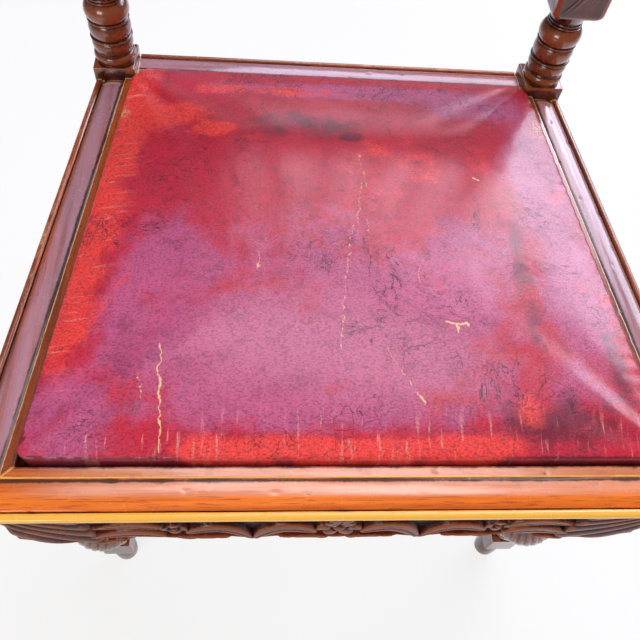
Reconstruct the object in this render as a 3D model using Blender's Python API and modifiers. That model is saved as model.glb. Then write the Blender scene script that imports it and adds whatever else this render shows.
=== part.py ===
"""A side chair with ring-turned back posts, a moulded seat frame over a carved apron,
and a loose leather seat that lifts out. Metres, +Z up, the front towards -Y, and the
origin on the floor at the middle of the chair's outline."""

import math

import bmesh
import bpy
from mathutils import Matrix, Vector

# Seat frame, seen from above: a trapezoid with its wide side at the front
FRONT_WIDTH = 0.500
REAR_WIDTH = 0.420
SEAT_DEPTH = 0.432
SEAT_HEIGHT = 0.430

# Moulding round the seat, from its outer edge inwards: bead, thumb, fillet
BEAD_WIDTH = 0.0060
THUMB_WIDTH = 0.0200
FILLET_WIDTH = 0.0075
MOULDING_THICKNESS = 0.0220
BEAD_TOP_DROP = 0.0022
GROOVE_DROP = 0.0048
THUMB_STEP = 0.0008
THUMB_DROP = 0.0032
THUMB_SWELL = 0.0022
UNDERCUT = 0.0160
GROOVE_WIDTH = 0.0004
THUMB_LEAN = 0.45
LIP_INSET = 0.0036
LIP_DROP = 0.0105
HOLLOW_INSET = 0.0044
HOLLOW_DROP = 0.0108
HOLLOW_HEIGHT = 0.0092

# Clearances
GAP = 0.0003
SEAT_CLEARANCE = 0.0014

# Rails under the moulding
RAIL_SETBACK = 0.0080
RAIL_THICKNESS = 0.0220
SIDE_RAIL_DEPTH = 0.0730
APRON_SETBACK = 0.0210
APRON_THICKNESS = 0.0217
APRON_DEPTH = 0.1120
APRON_END_SETBACK = 0.0006
APRON_EAR_DROP = 0.0150
APRON_EAR_LENGTH = 0.0900
EAR_POWER = 0.7
FRONT_RAIL_THICKNESS = 0.0190
FRONT_RAIL_DEPTH = 0.1000
BEARER_WIDTH = 0.0160
BEARER_DEPTH = 0.0180
CORNER_BLOCK_LEG = 0.0420
CORNER_BLOCK_DEPTH = 0.0400
EDGE_EASE = 0.0008

# Leaf tips on the apron's lower edge: distance from the middle, half width, depth
APRON_LEAVES = (
    (0.000, 0.022, 0.0060),
    (0.066, 0.024, 0.0050),
    (0.126, 0.020, 0.0035),
)
APRON_STEPS = 56

# Front legs
LEG_BLOCK = 0.0400
LEG_INSET_X = 0.0258
LEG_BLOCK_DEPTH = 0.1300
LEG_SHOULDER = 0.0040
LEG_BULB_RADIUS = 0.0350
LEG_BULB_HALF = 0.0300
LEG_BULB_HEIGHT = 0.1480
LEG_NECK_RADIUS = 0.0140
LEG_ANKLE_RADIUS = 0.0125
LEG_TOP_RADIUS = 0.0165
LEG_COLLAR_RADIUS = LEG_TOP_RADIUS * 1.15
LEG_COVE_SHARE = 0.6
STRETCHER_HEIGHT = 0.0660
STRETCHER_BLOCK = 0.0320
STRETCHER_BLOCK_DEPTH = 0.0400
BLOCK_EASE = 0.0030
FOOT_RADIUS = 0.0130
FOOT_PAD_RADIUS = 0.0115
FOOT_NECK = 0.0070

# Back posts
POST_BLOCK = 0.0360
POST_BLOCK_DEPTH = 0.1300
PLINTH_HEIGHT = 0.0090
PLINTH_CHAMFER = 0.0010
POST_INSET_Y = 0.0027
POST_PROUD_X = 0.0006
CARVED_BLOCK = 0.0455
CARVED_BLOCK_START = 0.0820
CARVED_BLOCK_HEIGHT = 0.0530
CARVED_BLOCK_EASE = 0.0060
CARVED_BLOCK_SHOULDER = 0.0035
CARVED_NECK_RADIUS = 0.0142
CARVED_FLARE_RADIUS = 0.0205
RAKE_PIVOT_DROP = 0.0100
COLUMN_LENGTH = 0.3450
COLUMN_RADIUS = 0.0172
COLUMN_NECK = COLUMN_RADIUS * 0.72
COLUMN_BELLY = COLUMN_RADIUS * 0.98
COLUMN_WAIST = COLUMN_RADIUS * 0.60
COLUMN_TAPER = COLUMN_RADIUS * 0.72
RING_RADIUS = 0.0180
TOP_BLOCK_HEIGHT = 0.0780
TOP_BLOCK_EASE = 0.0040
JOIN = 0.0005
BACK_RAKE = math.radians(6.0)
REAR_LEG_SPLAY = 0.0480
REAR_LEG_FOOT = 0.0310

# Back rails and spindles
LOWER_RAIL_START = 0.0950
LOWER_RAIL_HEIGHT = 0.0370
LOWER_RAIL_THICKNESS = 0.0210
LOWER_RAIL_EASE = 0.0015
CREST_START = 0.0080
CREST_EASE = 0.0020
CREST_STEPS = 32
CREST_HEIGHT = 0.0620
CREST_ARCH = 0.0420
CREST_THICKNESS = 0.0240
SPINDLE_COUNT = 5
SPINDLE_RADIUS = 0.0085
SPINDLE_END = 0.0280
SPINDLE_TIP = SPINDLE_RADIUS * 0.80
SPINDLE_SHOULDER = SPINDLE_RADIUS * 0.70
SPINDLE_GROOVE = SPINDLE_RADIUS * 0.75
SPINDLE_COLLAR = SPINDLE_RADIUS * 1.10
SPINDLE_COLLAR_LENGTH = SPINDLE_RADIUS * 1.40
SPINDLE_NECK = SPINDLE_RADIUS * 0.66
SPINDLE_BELLY = SPINDLE_RADIUS * 1.15
SPINDLE_WAIST = SPINDLE_RADIUS * 0.62
SPINDLE_TAPER = SPINDLE_RADIUS * 0.74
SPINDLE_TENON = 0.0040
FINIAL_HEIGHT = 0.0520
FINIAL_RADIUS = 0.0150
FINIAL_BASE = 0.0165
FINIAL_NECK = 0.0090
FINIAL_TIP = 0.0060
FINIAL_CAP = FINIAL_TIP * 1.2
FINIAL_POINT = FINIAL_TIP / 3
FINIAL_PLATE_SHARE = 0.06
FINIAL_COVE_SHARE = 0.22
FINIAL_URN_SHARE = 0.50
FINIAL_CAP_SHARE = 0.22

# Stretchers
STRETCHER_RADIUS = 0.0140
STRETCHER_END_RADIUS = 0.0095
STRETCHER_BELLY = STRETCHER_RADIUS * 0.95
STRETCHER_SHOULDER = STRETCHER_RADIUS * 0.80
STRETCHER_WAIST = STRETCHER_RADIUS * 0.92
STRETCHER_SPARE = 0.0100
CROSS_BLOCK = 0.0280
CROSS_MIDDLE = 0.0020
TRIM_REACH = 0.0600
TRIM_HEIGHT = 0.2000

# Loose seat
LEATHER = 0.0014
SLIP_THICKNESS = 0.0173
SLIP_WIDTH = 0.0420
WEB_WIDTH = 0.0480
WEB_THICKNESS = 0.0015
WEB_SPACING = 0.0850
WEB_COUNT = 3
WEB_INSET = 0.0120
HESSIAN = 0.0010
HESSIAN_INSET = 0.0040
EDGE_HEIGHT = 0.0115
CROWN = 0.0170
CORNER_CLIP = 0.0085
CORNER_CLIP_STEP = CORNER_CLIP * 0.75
CROWN_POWER = 0.8
SLIP_FRONT_CLIP = 0.0120
SLIP_REAR_CLIP = 0.0290
PAD_INSET = 0.0042
PAD_EDGE_DROP = 0.0024
COVER_ROLL = 0.0060
TURN_UNDER = 0.0200
TURN_ROLL = 0.0012

# Facets of round work
POST_SIDES = 14
LEG_SIDES = 14
SPINDLE_SIDES = 8
STRETCHER_SIDES = 10

# Sizes that follow from the ones above, with z measured up from the moulding's top
MOULDING_WIDTH = BEAD_WIDTH + THUMB_WIDTH + FILLET_WIDTH
FRONT_Y = -SEAT_DEPTH / 2
REAR_Y = SEAT_DEPTH / 2
FLOOR = -SEAT_HEIGHT
RAIL_TOP = -MOULDING_THICKNESS - GAP
SIDE_ANGLE = math.atan((FRONT_WIDTH - REAR_WIDTH) / 2 / SEAT_DEPTH)
APRON_FRONT = FRONT_Y + APRON_SETBACK
APRON_BACK = APRON_FRONT + APRON_THICKNESS
FRONT_RAIL_BACK = APRON_BACK + GAP + FRONT_RAIL_THICKNESS
LEG_Y = FRONT_RAIL_BACK + GAP + LEG_BLOCK / 2
POST_HALF = POST_BLOCK / 2


def half_width(y, offset=0.0):
    """Half the seat's width at y, on a line set in by offset from the moulding's edge."""
    share = (y - FRONT_Y) / SEAT_DEPTH
    outer = (FRONT_WIDTH + (REAR_WIDTH - FRONT_WIDTH) * share) / 2
    return outer - offset / math.cos(SIDE_ANGLE)


LEG_X = half_width(LEG_Y) - LEG_INSET_X
APRON_HALF = half_width(APRON_FRONT, APRON_END_SETBACK)
FRONT_RAIL_HALF = half_width(APRON_FRONT, RAIL_SETBACK)
POST_Y = REAR_Y - POST_HALF - POST_INSET_Y
POST_X = half_width(POST_Y - POST_HALF) - POST_HALF + POST_PROUD_X
POST_FRONT = POST_Y - POST_HALF
RAKE_PIVOT = CARVED_BLOCK_START + CARVED_BLOCK_HEIGHT - RAKE_PIVOT_DROP
TOP_BLOCK_START = COLUMN_LENGTH
TOP_BLOCK_END = TOP_BLOCK_START + TOP_BLOCK_HEIGHT
REAR_FOOT_Y = POST_Y + REAR_LEG_SPLAY
TOP_REAR_Y = POST_Y + TOP_BLOCK_END * math.sin(BACK_RAKE) + POST_HALF * math.cos(BACK_RAKE)
FOOT_REAR_Y = REAR_FOOT_Y + REAR_LEG_FOOT / 2
CENTRE_Y = (FRONT_Y + max(TOP_REAR_Y, FOOT_REAR_Y)) / 2

MAHOGANY = (0.200, 0.050, 0.022, 1.0)
DARK_MAHOGANY = (0.085, 0.022, 0.014, 1.0)
BEECH = (0.480, 0.300, 0.150, 1.0)
RED_LEATHER = (0.420, 0.030, 0.040, 1.0)
JUTE = (0.420, 0.320, 0.180, 1.0)
HORSEHAIR = (0.130, 0.110, 0.090, 1.0)


def clear_scene():
    for old in list(bpy.data.objects):
        bpy.data.objects.remove(old, do_unlink=True)


def make_collection(name):
    made = bpy.data.collections.new(name)
    bpy.context.scene.collection.children.link(made)
    return made


def make_material(name, colour, roughness, metallic=0.0):
    material = bpy.data.materials.new(name)
    material.use_nodes = True
    shader = material.node_tree.nodes["Principled BSDF"]
    shader.inputs["Base Color"].default_value = colour
    shader.inputs["Roughness"].default_value = roughness
    shader.inputs["Metallic"].default_value = metallic
    return material


clear_scene()
PARTS = make_collection("side_chair")
CUTTERS = make_collection("cutters")

# The seat frame's centre at the moulding's top is where every piece is placed from
SEAT_ORIGIN = bpy.data.objects.new("seat_origin", None)
SEAT_ORIGIN.location = (0, -CENTRE_Y, SEAT_HEIGHT)
PARTS.objects.link(SEAT_ORIGIN)

# The upper back leans from a pivot inside the carved blocks
BACK_ORIGIN = bpy.data.objects.new("back_origin", None)
BACK_ORIGIN.parent = SEAT_ORIGIN
BACK_ORIGIN.location = (0, POST_Y, RAKE_PIVOT)
BACK_ORIGIN.rotation_euler = (-BACK_RAKE, 0, 0)
PARTS.objects.link(BACK_ORIGIN)


def add_piece(name, mesh, colour, roughness=0.35, parent=SEAT_ORIGIN):
    """Puts a mesh in the scene as one named piece of the chair."""
    piece = bpy.data.objects.new(name, mesh)
    PARTS.objects.link(piece)
    piece.parent = parent
    piece.data.materials.append(make_material(name, colour, roughness))
    return piece


def hide_helper(helper):
    """Moves a helper out of the parts and out of the render."""
    PARTS.objects.unlink(helper)
    CUTTERS.objects.link(helper)
    helper.hide_render = True
    helper.display_type = "WIRE"


def mesh_from(bm, name):
    bmesh.ops.recalc_face_normals(bm, faces=bm.faces)
    mesh = bpy.data.meshes.new(name)
    bm.to_mesh(mesh)
    bm.free()
    return mesh


def box_mesh(name, low, high):
    """A box between two corners."""
    low, high = Vector(low), Vector(high)
    size = high - low
    bm = bmesh.new()
    place = Matrix.Translation((low + high) / 2) @ Matrix.Diagonal((*size, 1))
    bmesh.ops.create_cube(bm, size=1.0, matrix=place)
    return mesh_from(bm, name)


def square_loft_mesh(name, sections):
    """A square bar through sections (x, y, z, side), from the bottom up."""
    bm = bmesh.new()
    corners = ((-1, -1), (1, -1), (1, 1), (-1, 1))
    rings = []
    for x, y, z, side in sections:
        ring = [bm.verts.new((x + i * side / 2, y + j * side / 2, z)) for i, j in corners]
        rings.append(ring)
    for lower, upper in zip(rings, rings[1:]):
        for k in range(4):
            following = (k + 1) % 4
            bm.faces.new((lower[k], lower[following], upper[following], upper[k]))
    bm.faces.new(list(reversed(rings[0])))
    bm.faces.new(rings[-1])
    return mesh_from(bm, name)


def outline_mesh(name, outline, low, high, upright=False):
    """A flat outline given a thickness: in plan between two heights, or upright
    (outline in X and Z) between two values of Y."""
    curve = bpy.data.curves.new(name, "CURVE")
    curve.dimensions = "2D"
    curve.fill_mode = "BOTH"
    curve.extrude = (high - low) / 2
    spline = curve.splines.new("POLY")
    spline.points.add(len(outline) - 1)
    for point, (a, b) in zip(spline.points, outline):
        point.co = (a, b, 0, 1)
    spline.use_cyclic_u = True
    drawn = bpy.data.objects.new(name, curve)
    PARTS.objects.link(drawn)
    bpy.context.view_layer.update()
    graph = bpy.context.evaluated_depsgraph_get()
    mesh = bpy.data.meshes.new_from_object(drawn.evaluated_get(graph))
    bpy.data.objects.remove(drawn, do_unlink=True)
    bm = bmesh.new()
    bm.from_mesh(mesh)
    bmesh.ops.remove_doubles(bm, verts=bm.verts, dist=0.00001)
    middle = (low + high) / 2
    place = Matrix.Translation((0, 0, middle))
    if upright:
        place = Matrix.Translation((0, middle, 0)) @ Matrix.Rotation(math.pi / 2, 4, "X")
    bmesh.ops.transform(bm, matrix=place, verts=bm.verts)
    mesh.clear_geometry()
    bmesh.ops.recalc_face_normals(bm, faces=bm.faces)
    bm.to_mesh(mesh)
    bm.free()
    return mesh


def ease_edges(piece, width=EDGE_EASE, segments=1, angle=40.0):
    """Rubs down a piece's sharp edges."""
    bevel = piece.modifiers.new("eased edges", "BEVEL")
    bevel.width = width
    bevel.segments = segments
    bevel.limit_method = "ANGLE"
    bevel.angle_limit = math.radians(angle)
    bevel.use_clamp_overlap = True


def join_to(piece, helpers):
    """Unites a piece with its helpers, which then leave the parts."""
    for helper in helpers:
        union = piece.modifiers.new("union", "BOOLEAN")
        union.operation = "UNION"
        union.solver = "EXACT"
        union.object = helper
        hide_helper(helper)


def cut_from(piece, cutter):
    cut = piece.modifiers.new("cut", "BOOLEAN")
    cut.operation = "DIFFERENCE"
    cut.solver = "EXACT"
    cut.object = cutter


# Turnings: each element is (kind, length, low radius, middle radius, high radius)


def element_points(kind, length, low, middle, high):
    """Height and radius points of one turned element, its start left out."""
    counts = {"straight": 1, "bead": 2, "barrel": 3, "cove": 2, "vase": 4}
    steps = counts[kind]
    if kind == "straight":
        return [(length, high)]
    found = []
    for k in range(1, steps + 2):
        share = k / (steps + 1)
        along = (1 - math.cos(math.pi * share)) / 2
        chord = low + (high - low) * along
        swell = middle - (low + high) / 2
        found.append((length * along, chord + swell * math.sin(math.pi * along) ** 0.62))
    return found


def turned_points(start, elements):
    """(height, radius) of a whole turning, from the bottom up."""
    points = [(start, elements[0][2])]
    height = start
    for kind, length, low, middle, high in elements:
        if abs(points[-1][1] - low) > 1e-6:
            points.append((height, low))
        for rise, radius in element_points(kind, length, low, middle, high):
            points.append((height + rise, radius))
        height += length
    return points


def turned_mesh(name, points, sides):
    """Turns a profile about Z with a Screw modifier, closed at both ends."""
    mesh = bpy.data.meshes.new(name)
    profile = [(0.0, points[0][0])] + [(r, z) for z, r in points] + [(0.0, points[-1][0])]
    profile.reverse()
    verts = [(r, 0, z) for r, z in profile]
    edges = [(k, k + 1) for k in range(len(verts) - 1)]
    mesh.from_pydata(verts, edges, [])
    turned = bpy.data.objects.new(name, mesh)
    PARTS.objects.link(turned)
    screw = turned.modifiers.new("turning", "SCREW")
    screw.angle = 2 * math.pi
    screw.steps = sides
    screw.render_steps = sides
    screw.use_merge_vertices = True
    screw.merge_threshold = 0.00002
    bpy.context.view_layer.update()
    graph = bpy.context.evaluated_depsgraph_get()
    made = bpy.data.meshes.new_from_object(turned.evaluated_get(graph))
    bpy.data.objects.remove(turned, do_unlink=True)
    bpy.data.meshes.remove(mesh)
    made.shade_smooth()
    made.set_sharp_from_angle(angle=math.radians(50))
    return made


def turned_helper(name, points, sides, location, parent=SEAT_ORIGIN):
    helper = add_piece(name, turned_mesh(name, points, sides), DARK_MAHOGANY, 0.3, parent)
    helper.location = location
    return helper


# The ring turning seen just above the seat, from the plinth up to the carved block
RING_TURNING = (
    ("straight", 0.0016, 0.0166, 0, 0.0166),
    ("bead", 0.0080, 0.0160, 0.0180, 0.0162),
    ("straight", 0.0014, 0.0160, 0, 0.0156),
    ("barrel", 0.0114, 0.0154, 0.0176, 0.0162),
    ("bead", 0.0028, 0.0168, 0.0181, 0.0168),
    ("barrel", 0.0142, 0.0160, 0.0180, 0.0160),
    ("bead", 0.0026, 0.0166, 0.0178, 0.0166),
    ("barrel", 0.0160, 0.0160, 0.0188, 0.0142),
    ("bead", 0.0026, 0.0142, 0.0152, 0.0140),
    ("bead", 0.0026, 0.0138, 0.0148, 0.0138),
)


def scaled_turning(elements, scale):
    """The same turning with its lengths and radii in proportion."""
    return [(kind, *(value * scale for value in sizes)) for kind, *sizes in elements]


def mirrored_turning(elements):
    """The same turning upside down."""
    return [(kind, length, high or low, middle, low)
            for kind, length, low, middle, high in reversed(elements)]


def turning_length(elements):
    return sum(length for _, length, *_ in elements)


def post_lower_turning():
    """Rings above the plinth, then the cove that opens into the carved block."""
    start = PLINTH_HEIGHT - JOIN
    rings_end = start + turning_length(RING_TURNING)
    cove = CARVED_BLOCK_START - rings_end + CARVED_BLOCK_SHOULDER
    elements = list(RING_TURNING)
    middle = (CARVED_NECK_RADIUS + CARVED_FLARE_RADIUS) / 2
    elements.append(("cove", cove, CARVED_NECK_RADIUS, middle, CARVED_FLARE_RADIUS))
    return turned_points(start, elements)


def column_turning(start, length):
    """A slender baluster between two short runs of rings."""
    rings = scaled_turning(RING_TURNING[4:8], COLUMN_RADIUS / RING_RADIUS)
    upper = mirrored_turning(rings)
    run = turning_length(rings) + turning_length(upper)
    middle = (length - run) / 2
    elements = rings
    elements.append(("vase", middle, COLUMN_NECK, COLUMN_BELLY, COLUMN_WAIST))
    elements.append(("vase", middle, COLUMN_WAIST, COLUMN_TAPER, COLUMN_NECK))
    elements += upper
    return turned_points(start, elements)


def make_back_post(side, label):
    """Rear leg, seat block, ring turning, carved block, column and top block in one."""
    x = side * POST_X
    sections = (
        (x, REAR_FOOT_Y, FLOOR, REAR_LEG_FOOT),
        (x, POST_Y, -POST_BLOCK_DEPTH, POST_BLOCK),
        (x, POST_Y, PLINTH_HEIGHT - PLINTH_CHAMFER, POST_BLOCK),
        (x, POST_Y, PLINTH_HEIGHT, POST_BLOCK - 2 * PLINTH_CHAMFER),
    )
    post = add_piece(
        "back_post_" + label, square_loft_mesh("post", sections), DARK_MAHOGANY, 0.3)
    rings = turned_helper(
        "post_rings_" + label, post_lower_turning(), POST_SIDES, (x, POST_Y, 0))
    eased = CARVED_BLOCK - CARVED_BLOCK_EASE
    start = CARVED_BLOCK_START
    end = start + CARVED_BLOCK_HEIGHT
    carved_sections = (
        (x, POST_Y, start, eased),
        (x, POST_Y, start + CARVED_BLOCK_SHOULDER, CARVED_BLOCK),
        (x, POST_Y, end - CARVED_BLOCK_EASE, CARVED_BLOCK),
        (x, POST_Y, end, eased),
    )
    carved = add_piece(
        "post_carved_" + label, square_loft_mesh("carved", carved_sections), DARK_MAHOGANY)
    column = turned_helper(
        "post_column_" + label,
        column_turning(0.0, COLUMN_LENGTH + JOIN), POST_SIDES,
        (x, 0, 0), BACK_ORIGIN)
    top_sections = (
        (x, 0, TOP_BLOCK_START, POST_BLOCK - TOP_BLOCK_EASE),
        (x, 0, TOP_BLOCK_START + TOP_BLOCK_EASE, POST_BLOCK),
        (x, 0, TOP_BLOCK_END, POST_BLOCK),
    )
    top = add_piece(
        "post_top_" + label, square_loft_mesh("top", top_sections), DARK_MAHOGANY,
        0.3, BACK_ORIGIN)
    join_to(post, (rings, carved, column, top))
    return post


def make_front_leg(side, label):
    """Top block, turned shaft with a swelling bulb, stretcher block and foot."""
    x = side * LEG_X
    top_low = RAIL_TOP - LEG_BLOCK_DEPTH
    upper = ((x, LEG_Y, top_low, LEG_BLOCK - LEG_SHOULDER),
             (x, LEG_Y, top_low + LEG_SHOULDER, LEG_BLOCK),
             (x, LEG_Y, RAIL_TOP, LEG_BLOCK))
    leg = add_piece("front_leg_" + label, square_loft_mesh("leg", upper), DARK_MAHOGANY, 0.3)
    block_mid = FLOOR + STRETCHER_HEIGHT
    block_low = block_mid - STRETCHER_BLOCK_DEPTH / 2
    block_high = block_mid + STRETCHER_BLOCK_DEPTH / 2
    eased = STRETCHER_BLOCK - BLOCK_EASE
    low_sections = ((x, LEG_Y, block_low, eased),
                    (x, LEG_Y, block_low + BLOCK_EASE, STRETCHER_BLOCK),
                    (x, LEG_Y, block_high - BLOCK_EASE, STRETCHER_BLOCK),
                    (x, LEG_Y, block_high, eased))
    low_block = add_piece(
        "leg_low_block_" + label, square_loft_mesh("low", low_sections), DARK_MAHOGANY)
    foot_bead = block_low - FLOOR - FOOT_NECK
    foot = turned_points(FLOOR, (
        ("bead", foot_bead, FOOT_PAD_RADIUS, FOOT_RADIUS, FOOT_PAD_RADIUS),
        ("straight", FOOT_NECK + JOIN, FOOT_PAD_RADIUS, 0, LEG_ANKLE_RADIUS),
    ))
    foot_turning = turned_helper("leg_foot_" + label, foot, LEG_SIDES, (x, LEG_Y, 0))
    bulb_low = FLOOR + LEG_BULB_HEIGHT - LEG_BULB_HALF
    shaft_start = block_high - JOIN
    ankle = bulb_low - shaft_start
    above = top_low + JOIN - (bulb_low + 2 * LEG_BULB_HALF)
    rings = list(RING_TURNING[4:8])
    rest = above - turning_length(rings)
    shaft = [
        ("bead", ankle / 2, LEG_NECK_RADIUS, LEG_TOP_RADIUS, LEG_NECK_RADIUS),
        ("straight", ankle / 2, LEG_ANKLE_RADIUS, 0, LEG_NECK_RADIUS),
        ("barrel", 2 * LEG_BULB_HALF, LEG_TOP_RADIUS, LEG_BULB_RADIUS, LEG_TOP_RADIUS),
        *rings,
        ("cove", rest * LEG_COVE_SHARE, LEG_NECK_RADIUS, LEG_NECK_RADIUS, LEG_TOP_RADIUS),
        ("bead", rest * (1 - LEG_COVE_SHARE), LEG_TOP_RADIUS, LEG_COLLAR_RADIUS,
         LEG_TOP_RADIUS),
    ]
    shaft_turning = turned_helper(
        "leg_shaft_" + label, turned_points(shaft_start, shaft), LEG_SIDES, (x, LEG_Y, 0))
    join_to(leg, (low_block, foot_turning, shaft_turning))
    return leg


# Moulded frame


def moulding_profile():
    """(inwards, up) points of the moulding's section, once round."""
    groove = (BEAD_WIDTH, -GROOVE_DROP)
    bead_radius = BEAD_WIDTH / 2
    bead_centre = (bead_radius, -BEAD_TOP_DROP - bead_radius)
    thumb_low = (BEAD_WIDTH + GROOVE_WIDTH, -THUMB_DROP)
    thumb_high = (BEAD_WIDTH + THUMB_WIDTH, -THUMB_STEP)
    points = [
        (MOULDING_WIDTH, -MOULDING_THICKNESS),
        (MOULDING_WIDTH, 0.0),
        (MOULDING_WIDTH - FILLET_WIDTH, 0.0),
    ]
    steps = 6
    for k in range(steps + 1):
        share = k / steps
        u = thumb_high[0] + (thumb_low[0] - thumb_high[0]) * share
        z = thumb_high[1] + (thumb_low[1] - thumb_high[1]) * share
        lean = 1 - THUMB_LEAN + THUMB_LEAN * share
        points.append((u, z + THUMB_SWELL * math.sin(math.pi * share) * lean))
    points.append(groove)
    for k in range(6):
        angle = math.radians(35 + k * 37)
        points.append((bead_centre[0] + bead_radius * math.cos(angle),
                       bead_centre[1] + bead_radius * math.sin(angle)))
    points.append((LIP_INSET, -LIP_DROP))
    for k in range(4):
        angle = math.pi / 2 * k / 3
        points.append((UNDERCUT - (UNDERCUT - HOLLOW_INSET) * math.cos(angle),
                       -HOLLOW_DROP - HOLLOW_HEIGHT * math.sin(angle)))
    points.append((UNDERCUT, -MOULDING_THICKNESS))
    return points


def moulding_mesh(name, start, end, start_cut, end_cut):
    """One length of moulding along the outer edge from start to end. Each cut is
    a plane (point, normal) in plan, where the length is mitred or butted."""
    start, end = Vector(start), Vector(end)
    along = (end - start).normalized()
    inwards = Vector((-along.y, along.x))
    profile = moulding_profile()
    bm = bmesh.new()
    rings = []
    for point, normal in (start_cut, end_cut):
        point, normal = Vector(point), Vector(normal)
        ring = []
        for u, z in profile:
            base = start + inwards * u
            run = (point - base).dot(normal) / along.dot(normal)
            place = base + along * run
            ring.append(bm.verts.new((place.x, place.y, z)))
        rings.append(ring)
    first, last = rings
    count = len(profile)
    for k in range(count):
        following = (k + 1) % count
        bm.faces.new((first[k], first[following], last[following], last[k]))
    bm.faces.new(first)
    bm.faces.new(list(reversed(last)))
    return mesh_from(bm, name)


def make_mouldings():
    """Front length mitred to the sides, sides butted to the posts, rear between them."""
    front_left = (-FRONT_WIDTH / 2, FRONT_Y)
    front_right = (FRONT_WIDTH / 2, FRONT_Y)
    rear_left = (-REAR_WIDTH / 2, REAR_Y)
    rear_right = (REAR_WIDTH / 2, REAR_Y)
    inner_y = FRONT_Y + MOULDING_WIDTH
    inner_left = Vector((-half_width(inner_y, MOULDING_WIDTH), inner_y))
    mitre = (inner_left - Vector(front_left)).normalized()
    across_left = Vector((-mitre.y, mitre.x))
    across_right = Vector((mitre.y, mitre.x))
    step = GAP / 2
    left_in = Vector(front_left) + across_left * step
    left_out = Vector(front_left) - across_left * step
    right_in = Vector(front_right) + across_right * step
    right_out = Vector(front_right) - across_right * step
    post_face = (0, POST_FRONT - GAP)
    post_inner = POST_X - POST_HALF - GAP
    lengths = (
        ("front", front_left, front_right, (left_out, across_left), (right_out, across_right)),
        ("right", front_right, rear_right, (right_in, across_right), (post_face, (0, 1))),
        ("rear", rear_right, rear_left, ((post_inner, 0), (1, 0)), ((-post_inner, 0), (1, 0))),
        ("left", rear_left, front_left, (post_face, (0, 1)), (left_in, across_left)),
    )
    for label, start, end, start_cut, end_cut in lengths:
        mesh = moulding_mesh("moulding", start, end, start_cut, end_cut)
        add_piece("moulding_" + label, mesh, MAHOGANY, 0.25)


# Rails and what stiffens them


def apron_edge(x):
    """Height of the apron's lower edge: an ear in front of each leg, leaf tips between."""
    drop = APRON_DEPTH
    end = APRON_HALF - abs(x)
    if end < APRON_EAR_LENGTH:
        drop += APRON_EAR_DROP * math.sin(math.pi * max(0.0, end / APRON_EAR_LENGTH)) ** EAR_POWER
    for centre, reach, depth in APRON_LEAVES:
        away = abs(abs(x) - centre) / reach
        if away < 1:
            drop += depth * (1 + math.cos(math.pi * away)) / 2
    return RAIL_TOP - drop


def make_rails():
    outline = [(APRON_HALF, RAIL_TOP), (-APRON_HALF, RAIL_TOP)]
    for k in range(APRON_STEPS + 1):
        x = -APRON_HALF + 2 * APRON_HALF * k / APRON_STEPS
        outline.append((x, apron_edge(x)))
    apron = add_piece(
        "front_apron", outline_mesh("apron", outline, APRON_FRONT, APRON_BACK, True),
        DARK_MAHOGANY, 0.4)
    ease_edges(apron)
    rail_low = RAIL_TOP - FRONT_RAIL_DEPTH
    front = add_piece(
        "front_rail",
        box_mesh("front_rail", (-FRONT_RAIL_HALF, APRON_BACK + GAP, rail_low),
                 (FRONT_RAIL_HALF, FRONT_RAIL_BACK, RAIL_TOP)), MAHOGANY)
    ease_edges(front)
    low = RAIL_TOP - SIDE_RAIL_DEPTH
    inner = RAIL_SETBACK + RAIL_THICKNESS
    near, far = LEG_Y + LEG_BLOCK / 2 + GAP, POST_FRONT - GAP
    for side, label in ((-1, "left"), (1, "right")):
        outline = [(side * half_width(y, offset), y) for y, offset in
                   ((near, RAIL_SETBACK), (far, RAIL_SETBACK), (far, inner), (near, inner))]
        rail = add_piece("side_rail_" + label, outline_mesh("side", outline, low, RAIL_TOP),
                         MAHOGANY)
        ease_edges(rail)
    span = POST_X - POST_HALF - GAP
    rear = add_piece(
        "rear_rail",
        box_mesh("rear_rail", (-span, REAR_Y - inner, low), (span, REAR_Y - RAIL_SETBACK, RAIL_TOP)),
        MAHOGANY)
    ease_edges(rear)


def make_bearers():
    """Strips inside the side and rear rails that carry the loose seat."""
    low = RAIL_TOP - BEARER_DEPTH
    outer = RAIL_SETBACK + RAIL_THICKNESS + GAP
    inner = outer + BEARER_WIDTH
    near, far = LEG_Y + LEG_BLOCK / 2 + GAP, POST_FRONT - GAP
    for side, label in ((-1, "left"), (1, "right")):
        outline = [(side * half_width(y, offset), y) for y, offset in
                   ((near, outer), (far, outer), (far, inner), (near, inner))]
        add_piece("seat_bearer_" + label, outline_mesh("bearer", outline, low, RAIL_TOP), BEECH, 0.6)
    span = half_width(REAR_Y - outer, inner) - GAP
    add_piece(
        "seat_bearer_rear",
        box_mesh("bearer", (-span, REAR_Y - inner, low), (span, REAR_Y - outer, RAIL_TOP)),
        BEECH, 0.6)


def make_corner_blocks():
    """Triangular blocks glued in the corners below the bearers."""
    high = RAIL_TOP - BEARER_DEPTH - GAP
    low = high - CORNER_BLOCK_DEPTH
    inner = RAIL_SETBACK + RAIL_THICKNESS + GAP
    leg = CORNER_BLOCK_LEG
    front_y = LEG_Y + LEG_BLOCK / 2 + GAP
    rear_y = POST_FRONT - GAP
    for side, label in ((-1, "left"), (1, "right")):
        for y, way, place in ((front_y, 1, "front"), (rear_y, -1, "rear")):
            wall = half_width(y, inner)
            along = half_width(y + way * leg, inner)
            corner = [(side * wall, y), (side * along, y + way * leg), (side * (wall - leg), y)]
            add_piece("corner_block_%s_%s" % (place, label),
                      outline_mesh("corner", corner, low, high), BEECH, 0.6)


# Stretchers


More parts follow.
